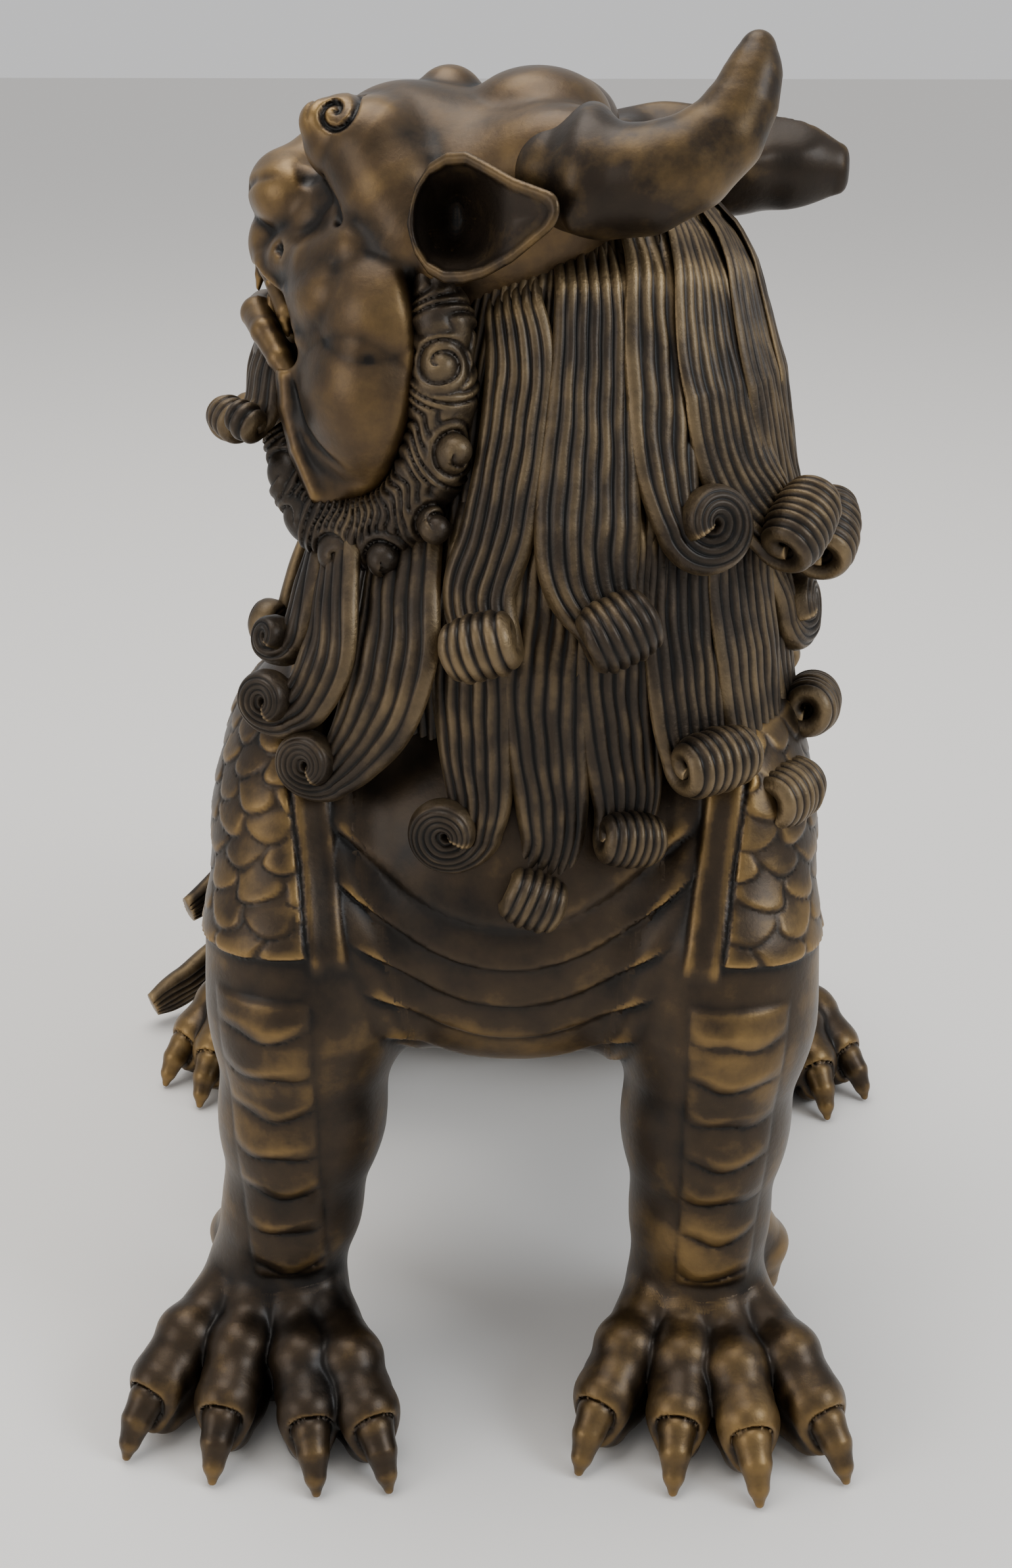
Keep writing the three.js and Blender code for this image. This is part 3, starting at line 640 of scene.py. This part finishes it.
# Knots of the two horns, and of the fold of skin in front of each, all with radii.
HORNS = {1: [(-22, 21, 15.0, 8.4), (-30, 24.4, 14.2, 8.4), (-37, 25.8, 14.6, 8.0), (-43.8, 25.8, 17.2, 7.0),
             (-49, 25, 21.6, 5.9), (-51.8, 24, 26.8, 4.8), (-53, 23, 31.4, 3.7), (-53.4, 22.5, 35, 2.5)],
         -1: [(-20, -19, 18, 9.2), (-33, -22, 19.4, 9.4), (-45, -25, 20.2, 8.4), (-56, -28, 19.6, 6.8),
              (-63, -30, 18.9, 5.0)]}
COLLAR = [(-25.6, 13, 22.4, 2.6), (-27.0, 19, 23.4, 3.1), (-27.6, 25, 21.8, 3.2), (-27.4, 29.4, 17.2, 2.8),
          (-27.0, 30.8, 12, 2.2), (-26.6, 30.0, 7.6, 1.4)]


def horn_field(s):
    """The left horn sweeps up to a round tip, and the right one is filed into facets and cut off blunt."""
    def field(p):
        q = to_head(p)
        horn = limb(q, HORNS[s], 3)
        if s < 0:
            out, up = q[:, 1] + 25, q[:, 2] - 19
            across = np.sqrt(0.5) * np.maximum(np.abs(out + up), np.abs(out - up))
            thin = np.interp(-q[:, 0], [20, 33, 45, 56, 68], [9.4, 8.9, 7.8, 6.2, 4.4]).astype(np.float32)
            horn = smooth_max(smooth_max(horn - 0.9, across - thin, 1.2), -q[:, 0] - 66.4, 1.5)
        return smooth_min(horn, limb(mirrored(q, s), curve(COLLAR, 16), 1.2), 3.2)

    return field


# ------------ mane surface

# Sections of the maned neck: height, middle x and y, half width, and half depth to front and to back.
SECTIONS = np.array([[106, 3, -48, 38, 38, 34], [125, 5, -46, 42, 42, 40], [150, 8, -43, 42, 43, 44],
                     [175, 11, -42, 39, 40, 37], [195, 12, -43, 36, 33, 32], [213, 13, -43, 30, 28, 27],
                     [226, 13, -42, 23, 19, 20], [236, 13, -42, 12, 8, 10]])
CAPE_START, CAPE_SLOPE = 172, 0.65  # below this height the back of the mane spreads


def on_mane(degrees, z, lift=0.0):
    """Points on the mane: 0 degrees faces the chest's front, 90 the lion's left and 180 its back."""
    degrees, z, lift = np.broadcast_arrays(np.float64(degrees), np.float64(z), np.float64(lift))
    x, y, wide, front, back = (np.interp(z, SECTIONS[:, 0], SECTIONS[:, i]) for i in range(1, 6))
    s, c = np.sin(np.radians(degrees)), np.cos(np.radians(degrees))
    deep = np.where(c > 0, front, back + np.maximum(0, CAPE_START - z) * CAPE_SLOPE)
    return np.stack([x + (wide + lift) * s, y - (deep + lift) * c, z], -1)


def mane_outward(points):
    """Directions out of the mane, tipped up a little."""
    x, y = (np.interp(points[:, 2], SECTIONS[:, 0], SECTIONS[:, i]) for i in (1, 2))
    flat = unit(np.stack([points[:, 0] - x, points[:, 1] - y, 0 * x], 1))
    return unit(flat + (0, 0, 0.15))


# ------------ strands of hair

STRAND = 2.2  # width of one strand


def ribbon(path, outward, wide, thick, phase=0.0):
    """Closed ribbon of parallel strands along a path, ribbed on both faces, as (points, quads)."""
    strands = max(3, round(float(1.55 * wide.max() + 0.45 * wide[-1]) / STRAND))
    tangent = unit(np.gradient(path, axis=0))
    across = unit(np.cross(tangent, outward))
    outward = np.cross(across, tangent)
    fine = 6
    u = np.linspace(-1, 1, strands * fine + 1)[None]
    under = np.linspace(1, -1, strands * fine + 1)[None, 1:-1]
    along = np.cumsum(np.r_[0, np.sqrt((np.diff(path, axis=0) ** 2).sum(1))])[:, None]

    def face(u, lift):
        number = np.floor(np.clip((u + 1) * strands / 2, 0, strands - 1e-6))
        ridge = np.abs(np.sin(np.pi * strands * (u + 1) / 2)) ** 0.55
        uneven = 0.16 * np.sin(number * 2.4 + along / 6.5 + phase) + 0.08 * np.sin(number * 4.1 - along / 1.9)
        crown = np.clip(1 - np.abs(u) ** 2.6, 0, 1) ** 0.5
        depth = np.minimum(0.8, 0.42 * STRAND * wide / wide.max())[:, None]
        high = lift * thick[:, None] * crown + np.sign(lift) * depth * (ridge * (1 + uneven) - 1) * crown**0.5
        sway = (0.05 * np.sin(along / 5.5 + phase + u) + 0.02 * np.sin(along / 1.7 + number)) * (1 - u * u)
        return np.broadcast_to(u + 4 * sway / strands, high.shape), high

    side, high = (np.concatenate(pair, 1) for pair in zip(face(u, 1.0), face(under, -0.8)))
    return close_rings(path[:, None] + across[:, None] * (side * wide[:, None])[..., None]
                       + outward[:, None] * high[..., None])


def close_rings(rings):
    """Quads over rings of points, drawn together to a point at both ends."""
    n = rings.shape[1]
    ends = [ring.mean(0) + 0.02 * (ring - ring.mean(0)) for ring in (rings[0], rings[-1])]
    rings = np.concatenate([ends[0][None], rings, ends[1][None]])
    rows = len(rings)
    i, j = (grid.ravel() for grid in np.meshgrid(np.arange(rows - 1), np.arange(n), indexing="ij"))
    k = (j + 1) % n
    quads = np.stack([i * n + j, i * n + k, (i + 1) * n + k, (i + 1) * n + j], 1)
    middle = np.arange(n // 2 - 1)
    lid = np.stack([middle, middle + 1, (-middle - 2) % n, (-middle - 1) % n], 1)
    points = rings.reshape(-1, 3)
    quads = np.concatenate([quads, lid[:, ::-1], lid + (rows - 1) * n])
    return (points, quads) if volume(points, quads) > 0 else (points, quads[:, ::-1])


def volume(points, quads):
    """Six times the volume inside the quads, negative where they face inward."""
    a, b, c, d = (points[quads[:, i]] for i in range(4))
    return (np.cross(b - a, c - a) * a).sum() + (np.cross(c - a, d - a) * a).sum()


def coil(start, heading, toward, size, turns):
    """Tightening spiral that leaves start along heading and turns to a side, as points, spokes and radii."""
    turn = np.linspace(0, 2 * math.pi * turns, 64)[1:, None]
    r = size * np.exp(-0.10 * turn)
    spoke = toward * np.cos(turn) - heading * np.sin(turn)
    return start + toward * size - r * spoke, spoke, r[:, 0]


def curled_lock(path, outward, wide, thick, kind, size, phase):
    """A lock along a path that ends in a curl: a flip rolls out and up, the others coil sideways."""
    heading = unit(path[-1] - path[-3])
    out = unit(outward[-1] - heading * (outward[-1] @ heading))
    t = np.linspace(0, 1, 63)
    if kind == "flip":
        tail, tail_out, _ = coil(path[-1], heading, out, size, 1.2)
        tail_wide = wide[-1] * np.interp(t, [0, 0.4, 1], [1, 1.1, 0.9])
        tail_thick = np.interp(t, [0, 0.3, 1], [thick[-1], thick[-1] * 1.3, size * 0.6])
    else:
        toward = np.cross(out, heading) * (1 if kind == "left" else -1)
        tail, _, r = coil(path[-1], heading, toward, size, 1.05)
        tail = tail + np.interp(t, [0, 0.3, 1], [0, 1.6, 1.8])[:, None] * out
        tail_wide = np.minimum(np.interp(t, [0, 0.12, 1], [wide[-1], 0.80 * size, 0.72 * size]), r)
        tail_thick = thick[-1] * np.interp(t, [0, 0.3, 1], [1, 1.3, 1.5])
        tail_out = np.broadcast_to(out, tail.shape)
    return ribbon(np.concatenate([path, tail]), np.concatenate([outward, tail_out]), np.r_[wide, tail_wide],
                  np.r_[thick, tail_thick], phase)


# Mane locks, from the near edge of the face round the lion's left to its right: the kind of curl, its size,
# and knots down the middle of (angle, height, width), some with extra lift.
MANE_LOCKS = {"upper": [
    ("flip", 4.6, [(-24, 217, 8), (-14, 203, 11), (-12.5, 190, 11), (-14, 174, 12), (-16, 164, 12),
                   (-12, 156, 11)]),
    ("flip", 5.2, [(4, 226, 10), (6.8, 206, 12.8), (6.7, 192, 14.4), (6.6, 177, 16.5), (8.5, 167, 15.5),
                   (14, 159, 11)]),
    ("left", 5.2, [(31, 230, 10), (26, 208, 12), (25, 196, 12.4), (25.4, 186, 11.8), (27, 178, 9.6),
                   (28.6, 173.5, 8)]),
    ("flip", 5.0, [(50, 232, 10), (45, 207, 17), (45, 194, 19), (48, 182, 18), (57, 171.5, 14, 2)]),
    ("flip", 5.0, [(74, 232, 10), (67, 205, 17), (67, 190, 19), (71, 176, 18), (77, 166, 15, 2)]),
    ("flip", 4.8, [(100, 232, 10), (91, 205, 18), (89, 188, 20), (91, 172, 19), (96, 162, 15, 1)]),
    ("right", 5.2, [(126, 232, 10), (118, 205, 18), (116, 188, 20), (117, 174, 15), (118, 169, 9)]),
    ("flip", 4.8, [(152, 232, 10), (146, 205, 18), (144, 186, 20), (144, 166, 19), (147, 157, 16)]),
    ("flip", 4.8, [(180, 232, 10), (176, 205, 19), (175, 186, 21), (175, 168, 20), (174, 159, 16)]),
    ("left", 4.8, [(210, 230, 10), (207, 205, 18), (205, 188, 19), (205, 174, 13), (206, 170, 8)]),
], "lower": [
    ("right", 4.8, [(-19, 182, 10), (-17, 165, 12), (-15.5, 150, 13.5), (-12.6, 138, 12.5), (-9.8, 128, 10.6),
                    (-9.6, 122, 8.4)]),
    ("flip", 4.2, [(1, 182, 13), (1, 165, 14), (1.5, 150, 14), (4, 138, 13.2), (6.9, 127, 11.8),
                   (8, 119, 10), (5.4, 111.5, 9.4)]),
    ("flip", 3.8, [(17, 184, 14), (17.5, 165, 15), (18.5, 150, 15), (21.4, 138, 14), (24.4, 128, 12.4),
                   (24.4, 122, 10)]),
    ("flip", 4.6, [(34, 182, 15), (34, 165, 17), (35, 152, 17, 1), (37, 141, 16, 2), (38.5, 134, 14, 3)]),
    ("flip", 4.8, [(52, 182, 15), (52, 162, 18, 1), (54, 146, 18, 3), (57, 133, 16, 5),
                   (58.5, 124.5, 13, 6.5)]),
    ("left", 5.0, [(72, 180, 14), (72, 165, 13), (73, 156, 9, 2), (73.5, 152, 7, 2)]),
    ("flip", 4.6, [(84, 178, 13), (80, 158, 18), (79, 144, 17, 2), (79, 134, 14, 4)]),
    ("flip", 4.6, [(108, 178, 17), (108, 160, 22), (110, 144, 20), (112, 135, 17)]),
    ("right", 4.8, [(142, 178, 18), (140, 160, 24), (140, 148, 15), (139, 143, 9)]),
    ("flip", 4.6, [(171, 178, 18), (171, 156, 24), (170, 142, 20), (168, 135, 17)]),
    ("left", 4.8, [(200, 178, 17), (199, 160, 22), (198, 148, 14), (198, 144, 8)]),
]}


def mane_lock(kind, size, knots, phase, upper):
    """A lock that starts tucked under its neighbours and stands further out toward its curl."""
    angle, z, wide, high = curve([(*knot, 0)[:4] for knot in knots], 70).T
    t = np.linspace(0, 1, 70)
    lift = high + np.interp(t, [0, 0.12, 0.7, 1], [-5, 0.8, 2.4, 3.4] if upper else [-3, 0.6, 1.4, 2.0])
    path = on_mane(angle, z, lift)
    thick = np.interp(t, [0, 0.2, 0.7, 1], [0.7, 1.5, 2.4, 2.5])
    return curled_lock(path, mane_outward(path), wide * 0.54, thick, kind, size, phase)


def mane_core():
    """The neck under the locks, covered in strands itself, tucked into the chest below."""
    angles = np.arange(0, 360, 0.5)
    a, z = np.meshgrid(angles, np.linspace(118, 235, 100))
    ridge = np.abs(np.sin(np.radians(a) * 60 + 0.3 * np.sin(z / 7.0))) ** 0.55
    tuck = np.interp(z, [118, 134, 150, 222, 235], [-13, -7, -3, -1, -9])
    return close_rings(on_mane(a, z, 0.8 + tuck + 0.75 * ridge))


# Beard and tail locks: the kind and size of the end, and knots down the middle with widths. Each group faces
# away from a centre. A point has no curl, so its size only shifts its unevenness.
FREE_LOCKS = {"beard": ((0, -45, 170), [
    ("right", 4.2, [(-14, -68, 176, 13), (-15.6, -78, 165, 14.5), (-16.6, -84.5, 154, 15.5),
                    (-19.6, -86, 143, 14), (-24.4, -84.5, 134.4, 10.5), (-28.4, -83.5, 129.6, 7.6)]),
    ("right", 3.9, [(-26, -66, 174, 9), (-27, -76, 163, 10.5), (-28, -82, 153, 11),
                    (-31.6, -82.5, 144.6, 9.6), (-36, -81, 140, 7.2)]),
    ("right", 3.0, [(-30, -62, 170, 7), (-32.4, -70, 161, 8), (-34, -74, 154.5, 7.4),
                    (-35.6, -74, 150.6, 5.6)]),
    ("left", 3.4, [(-30, -30, 170, 12), (-35, -28, 160, 13), (-40, -29, 149, 10), (-43, -31, 141, 6)]),
    ("left", 3.4, [(-22, -12, 172, 13), (-27, -8, 160, 14), (-33, -6, 149, 11), (-37, -8, 139, 6)]),
]), "tail": ((0, 60, 40), [
    ("point", 1.0, [(-36, 88, 40, 13), (-58, 81, 42, 15), (-73, 70, 40, 18), (-86, 60, 34, 9)]),
    ("point", 3.0, [(-24, 94, 24, 12), (-52, 88, 24, 15), (-76, 72, 17, 16), (-90, 63, 9.5, 14),
                    (-97, 58.5, 6.4, 8)]),
    ("flip", 4.2, [(-6, 98, 44, 15), (-5, 104, 66, 16), (-8, 100, 86, 15), (-6, 93, 98, 12)]),
    ("right", 3.6, [(4, 98, 40, 14), (17, 101, 58, 15), (26, 97, 72, 10), (28, 92, 79, 5)]),
])}


def free_lock(kind, size, knots, centre):
    x, y, z, wide = curve(knots, 60).T
    path = np.stack([x, y, z], 1)
    outward = unit((path - centre) * (1, 1, 0.25))
    if kind == "point":
        thick = np.interp(np.linspace(0, 1, 60), [0, 0.5, 1], [5, 4, 2.6])
        return ribbon(path, outward, wide * 0.5, thick, size)
    return curled_lock(path, outward, wide * 0.54, np.full(60, 2.5), kind, size, knots[0][0])


# Knots with radii along the ruff, and the buttons of coiled hair in it.
RUFF = [(-2, 24.5, 0, 3.0), (-4, 25.6, -9, 4.4), (-4.4, 26.2, -20, 4.9), (-3, 26, -32, 5.0),
        (2, 24.6, -41, 5.2), (10, 22, -45, 5.2), (18, 19, -44, 4.8), (24, 15, -38, 4.4), (28, 12, -31, 3.6)]
BUTTONS = [(-5.0, 30, -15.4, 2.0), (-8.0, 30.5, -29.3, 2.6), (-4.6, 30.4, -42.2, 2.5),
           (4.8, 28.6, -48.4, 2.7), (14.6, 25.0, -48.8, 2.7), (22.8, 18.8, -43.6, 2.2),
           (26.6, 15.6, -36.0, 2.2)]
RIB = 1.9  # width of one strand of the ruff


def cheek_ruff(s):
    """The band of short hair behind the cheek: strands cross it and coil round the buttons at its edge."""
    spread = 1 if s > 0 else 1.05
    middle = in_head(9, s * 24, -26)

    def field(p):
        f = mirrored(to_head(p), s / spread)
        band = limb(f, RUFF, 4)
        away = np.full(len(p), 99, np.float32)
        wind = np.zeros(len(p), np.float32)
        for k, (forward, left, up, radius) in enumerate(BUTTONS):
            q = f - np.float32((forward, left, up))
            d = np.sqrt((q**2).sum(1))
            nearer = d < away
            away = np.where(nearer, d, away)
            wind = np.where(nearer, np.arctan2(q[:, 2], q[:, 0]) * (1 if k % 2 else -1), wind)
            band = smooth_min(band, d - radius, 2)
        ahead, up = (f[:, 0] - CHEEK_AT[0]) / CHEEK_SIZE[0], (f[:, 2] - CHEEK_AT[1]) / CHEEK_SIZE[1]
        round_cheek = 23 * np.arctan2(up, ahead)
        across = np.abs(np.sin(np.pi * (round_cheek + 0.9 * np.sin(away * 0.9)) / RIB)) ** 0.6
        coiled = np.abs(np.sin(np.pi * away / RIB + wind / 2)) ** 0.6
        near = bump(away, -1, 4.4, 1.5)
        return band + 0.95 * (1 - (near * coiled + (1 - near) * across)) - 0.35

    return [carve(field, middle - 32, middle + 32, 0.42 / COARSEN)]


# Places across the chin of its locks, and the sizes of their curls.
CHIN_STRANDS = ((0, 2.6), (5.5, 3.0), (-5.5, 3.0), (10.5, 3.0), (-10.5, 3.0), (15, 2.4), (-15, 2.4))


def chin_beard():
    """Locks that hang from the lower jaw and roll forward at their ends."""
    parts = []
    for left, size in CHIN_STRANDS:
        back = 0.028 * left * left
        knots = [(34 - back, left * 0.75, -12), (36 - back, left * 0.9, -18), (36.6 - back, left, -24),
                 (38.5 - back, left * 1.05, -29 + 0.1 * abs(left))]
        path = np.array([in_head(*k) for k in curve(knots, 40)])
        outward = unit(path - in_head(22, 0, -20))
        wide = np.interp(np.linspace(0, 1, 40), [0, 0.4, 1], [3.2, 3.6, 3.2])
        parts.append(curled_lock(path, outward, wide, np.full(40, 1.9), "flip", size, left))
    return parts


# ------------ bronze


def bronze(name, dark, mid, gold, wear, rough, grit=0.35):
    """Patinated bronze: near black in recesses, brown on the skin and golden where hands have rubbed it."""
    material = bpy.data.materials.new(name)
    material.use_nodes = True
    nodes, links = material.node_tree.nodes, material.node_tree.links
    nodes.clear()

    def node(kind, **settings):
        made = nodes.new(kind)
        for key, value in settings.items():
            if key in made.inputs:
                made.inputs[key].default_value = value
            else:
                setattr(made, key, value)
        return made

    place = node("ShaderNodeTexCoord").outputs["Object"]

    def noise(scale, detail):
        made = node("ShaderNodeTexNoise", Scale=scale, Detail=detail, Roughness=0.6)
        links.new(place, made.inputs["Vector"])
        return made.outputs["Fac"]

    def calculate(operation, *values):
        made = node("ShaderNodeMath", operation=operation)
        for value, socket in zip(values, made.inputs):
            if isinstance(value, (int, float)):
                socket.default_value = value
            else:
                links.new(value, socket)
        return made.outputs[0]

    worn = node("ShaderNodeAttribute", attribute_name="worn").outputs["Fac"]
    broad, mottle, grain = noise(22, 3), noise(130, 5), noise(900, 4)
    mottled = calculate("MULTIPLY_ADD", mottle, 0.5, calculate("MULTIPLY", broad, 0.9))
    raised = calculate("MULTIPLY_ADD", worn, 1.15 * wear, calculate("SUBTRACT", mottled, 0.28))
    tone = node("ShaderNodeValToRGB")
    links.new(raised, tone.inputs[0])
    recess = [c * 0.25 for c in dark]
    rubbed = [(a + b) / 2 for a, b in zip(mid, gold)]
    stops = [(0.0, recess), (0.22, dark), (0.47, mid), (0.68, rubbed), (0.95, gold)]
    while len(tone.color_ramp.elements) < len(stops):
        tone.color_ramp.elements.new(0.5)
    for element, (position, colour) in zip(tone.color_ramp.elements, stops):
        element.position = position
        element.color = (*colour, 1)

    roughness = calculate("MULTIPLY_ADD", mottle, 0.22, rough - 0.11)
    roughness = calculate("MULTIPLY_ADD", grain, 0.10, roughness)
    roughness = calculate("MULTIPLY_ADD", worn, -0.10, roughness)

    pits = node("ShaderNodeTexVoronoi", Scale=420.0)
    links.new(place, pits.inputs["Vector"])
    pit = calculate("LESS_THAN", pits.outputs["Distance"], 0.13)
    height = calculate("MULTIPLY_ADD", pit, -0.5, calculate("MULTIPLY_ADD", grain, 0.5, mottle))
    casting_skin = node("ShaderNodeBump", Strength=grit, Distance=0.0004)
    links.new(height, casting_skin.inputs["Height"])

    shader = node("ShaderNodeBsdfPrincipled", Metallic=0.86)
    shader.inputs["Coat Weight"].default_value = 0.22
    shader.inputs["Coat Roughness"].default_value = 0.34
    shader.inputs["Specular IOR Level"].default_value = 0.5
    links.new(tone.outputs["Color"], shader.inputs["Base Color"])
    links.new(roughness, shader.inputs["Roughness"])
    links.new(casting_skin.outputs["Normal"], shader.inputs["Normal"])
    links.new(shader.outputs["BSDF"], node("ShaderNodeOutputMaterial").inputs["Surface"])
    return material


DARK, MID, GOLD = (0.009, 0.006, 0.0038), (0.038, 0.0235, 0.0115), (0.245, 0.150, 0.050)
HAIR = (0.006, 0.0045, 0.0032), (0.036, 0.025, 0.0155), (0.235, 0.163, 0.080)
# Each patina's three colours, wear, roughness and, on hair, its grit.
PATINAS = {
    "body_bronze": (DARK, MID, GOLD, 0.20, 0.44),
    "leg_bronze": (DARK, MID, GOLD, 1.0, 0.42),
    "paw_bronze": (DARK, MID, GOLD, 0.6, 0.40),
    "face_bronze": (DARK, (0.068, 0.041, 0.018), GOLD, 0.75, 0.42),
    "horn_ear_bronze": (DARK, (0.024, 0.015, 0.008), GOLD, 0.22, 0.46),
    "mane_bronze": (*HAIR, 0.72, 0.50, 0.9),
    "beard_bronze": (*HAIR, 0.55, 0.50, 0.9),
    "tail_bronze": (*HAIR, 0.55, 0.50, 0.9),
}
BRONZES = {name: bronze(name, *patina) for name, patina in PATINAS.items()}


def body_piece(name, low, high, step, slot):
    field, fade = body_fields(name)
    casting(name, [carve(field, low, high, step)], slot, fade=fade)


# ------------ building

body_piece("torso_shell", (-50, -108, -1), (56, 114, 162), 1.0, "body_bronze")
for side, s in SIDES.items():
    x = LEAN + s * LEG_X
    body_piece(f"{side}_foreleg", (x - 24, -104, 8), (x + 24, -20, 150), 0.6, "leg_bronze")
    x = paw_x(s, FORE)
    body_piece(f"{side}_fore_paw", (x - 34, -121, -1), (x + 34, -58, 34), 0.48, "paw_bronze")
    body_piece(f"{side}_haunch", (s * 47 - 33, 0, -1), (s * 47 + 33, 100, 100), 0.8, "leg_bronze")
    x = paw_x(s, HIND)
    body_piece(f"{side}_hind_paw", (x - 32, 8, -1), (x + 32, 68, 34), 0.55, "paw_bronze")
    middle = in_head(-42, s * 25, 20)
    casting(f"{side}_horn", [carve(horn_field(s), middle - 34, middle + 34, 0.55)], "horn_ear_bronze")
    middle = in_head(-12, s * 33, 8)
    casting(f"{side}_ear", [carve(ear_field(s), middle - 24, middle + 24, 0.45)], "horn_ear_bronze")
    casting(f"{side}_cheek_ruff", cheek_ruff(s), "beard_bronze", rounds=4)

head = carve(head_field, HEAD_AT - (50, 42, 50), HEAD_AT + (40, 42, 42), 0.55)
casting("head_shell", [head], "face_bronze")
middle = in_head(26, 0, -14)
casting("lower_jaw", [carve(jaw_field, middle - 24, middle + 24, 0.5)], "face_bronze")
middle = in_head(26, 0, -6)
add_piece("teeth_and_tongue", [carve(teeth_field, middle - 22, middle + 22, 0.5)], [], "face_bronze")

casting("neck_shell", [mane_core()], "mane_bronze", rounds=4)
tiers = [(tier, number, lock) for tier, locks in MANE_LOCKS.items() for number, lock in enumerate(locks, 1)]
for count, (tier, number, lock) in enumerate(tiers):
    mesh = mane_lock(*lock, count * 1.7, tier == "upper")
    casting(f"mane_lock_{tier}_{number}", [mesh], "mane_bronze", rounds=4)
for group, (centre, locks) in FREE_LOCKS.items():
    for number, lock in enumerate(locks, 1):
        casting(f"{group}_lock_{number}", [free_lock(*lock, centre)], f"{group}_bronze", rounds=4)
casting("chin_beard", chin_beard(), "beard_bronze", rounds=4)
stump = carve(lambda p: blob(p, (0, 97, 34), (15, 12, 20)), (-18, 82, 10), (18, 114, 58), 0.8)
casting("tail_root", [stump], "tail_bronze")

# ------------ stage

FLOOR = 6.0  # half the floor's side
corners = [(-FLOOR, -FLOOR, 0), (FLOOR, -FLOOR, 0), (FLOOR, FLOOR, 0), (-FLOOR, FLOOR, 0)]
floor_mesh = bpy.data.meshes.new("floor")
floor_mesh.from_pydata(corners, [], [(0, 1, 2, 3)])
floor = bpy.data.objects.new("floor", floor_mesh)
bpy.context.scene.collection.objects.link(floor)
pale = bpy.data.materials.new("pale_floor")
pale.use_nodes = True
pale_shader = pale.node_tree.nodes["Principled BSDF"]
pale_shader.inputs["Base Color"].default_value = (0.74, 0.72, 0.69, 1)
pale_shader.inputs["Roughness"].default_value = 0.6
floor_mesh.materials.append(pale)

world = bpy.data.worlds.new("studio")
bpy.context.scene.world = world
world.use_nodes = True
sky = world.node_tree.nodes["Background"]
sky.inputs["Color"].default_value = (0.97, 0.97, 0.98, 1)
sky.inputs["Strength"].default_value = 0.75


def softbox(name, place, size, power, colour):
    """Square area light aimed at the middle of the lion."""
    light = bpy.data.lights.new(name, "AREA")
    light.size, light.energy, light.color = size, power, colour
    lamp = bpy.data.objects.new(name, light)
    lamp.location = place
    lamp.rotation_euler = (Vector((0, 0, 0.13)) - Vector(place)).to_track_quat("-Z", "Y").to_euler()
    bpy.context.scene.collection.objects.link(lamp)


softbox("overhead", (-0.15, 0.1, 1.3), 0.9, 14, (1.0, 0.98, 0.95))
softbox("window", (0.9, -0.5, 0.75), 0.5, 8, (0.88, 0.94, 1.0))
softbox("fill", (-0.9, -0.7, 0.5), 0.6, 4, (1.0, 0.97, 0.93))

CAMERA_AT = np.array([14.0, -403.0, 258.0])  # in the sculpting frame
CAMERA_DOWN, CAMERA_TURN = 22.0, 2.1  # degrees
camera = bpy.data.cameras.new("camera")
camera.lens, camera.sensor_width = 45.25, 36
eye = bpy.data.objects.new("camera", camera)
eye.location = (CAMERA_AT + OFFSET) * MM
eye.rotation_euler = (math.radians(90 - CAMERA_DOWN), 0, math.radians(CAMERA_TURN))
bpy.context.scene.collection.objects.link(eye)
bpy.context.scene.camera = eye
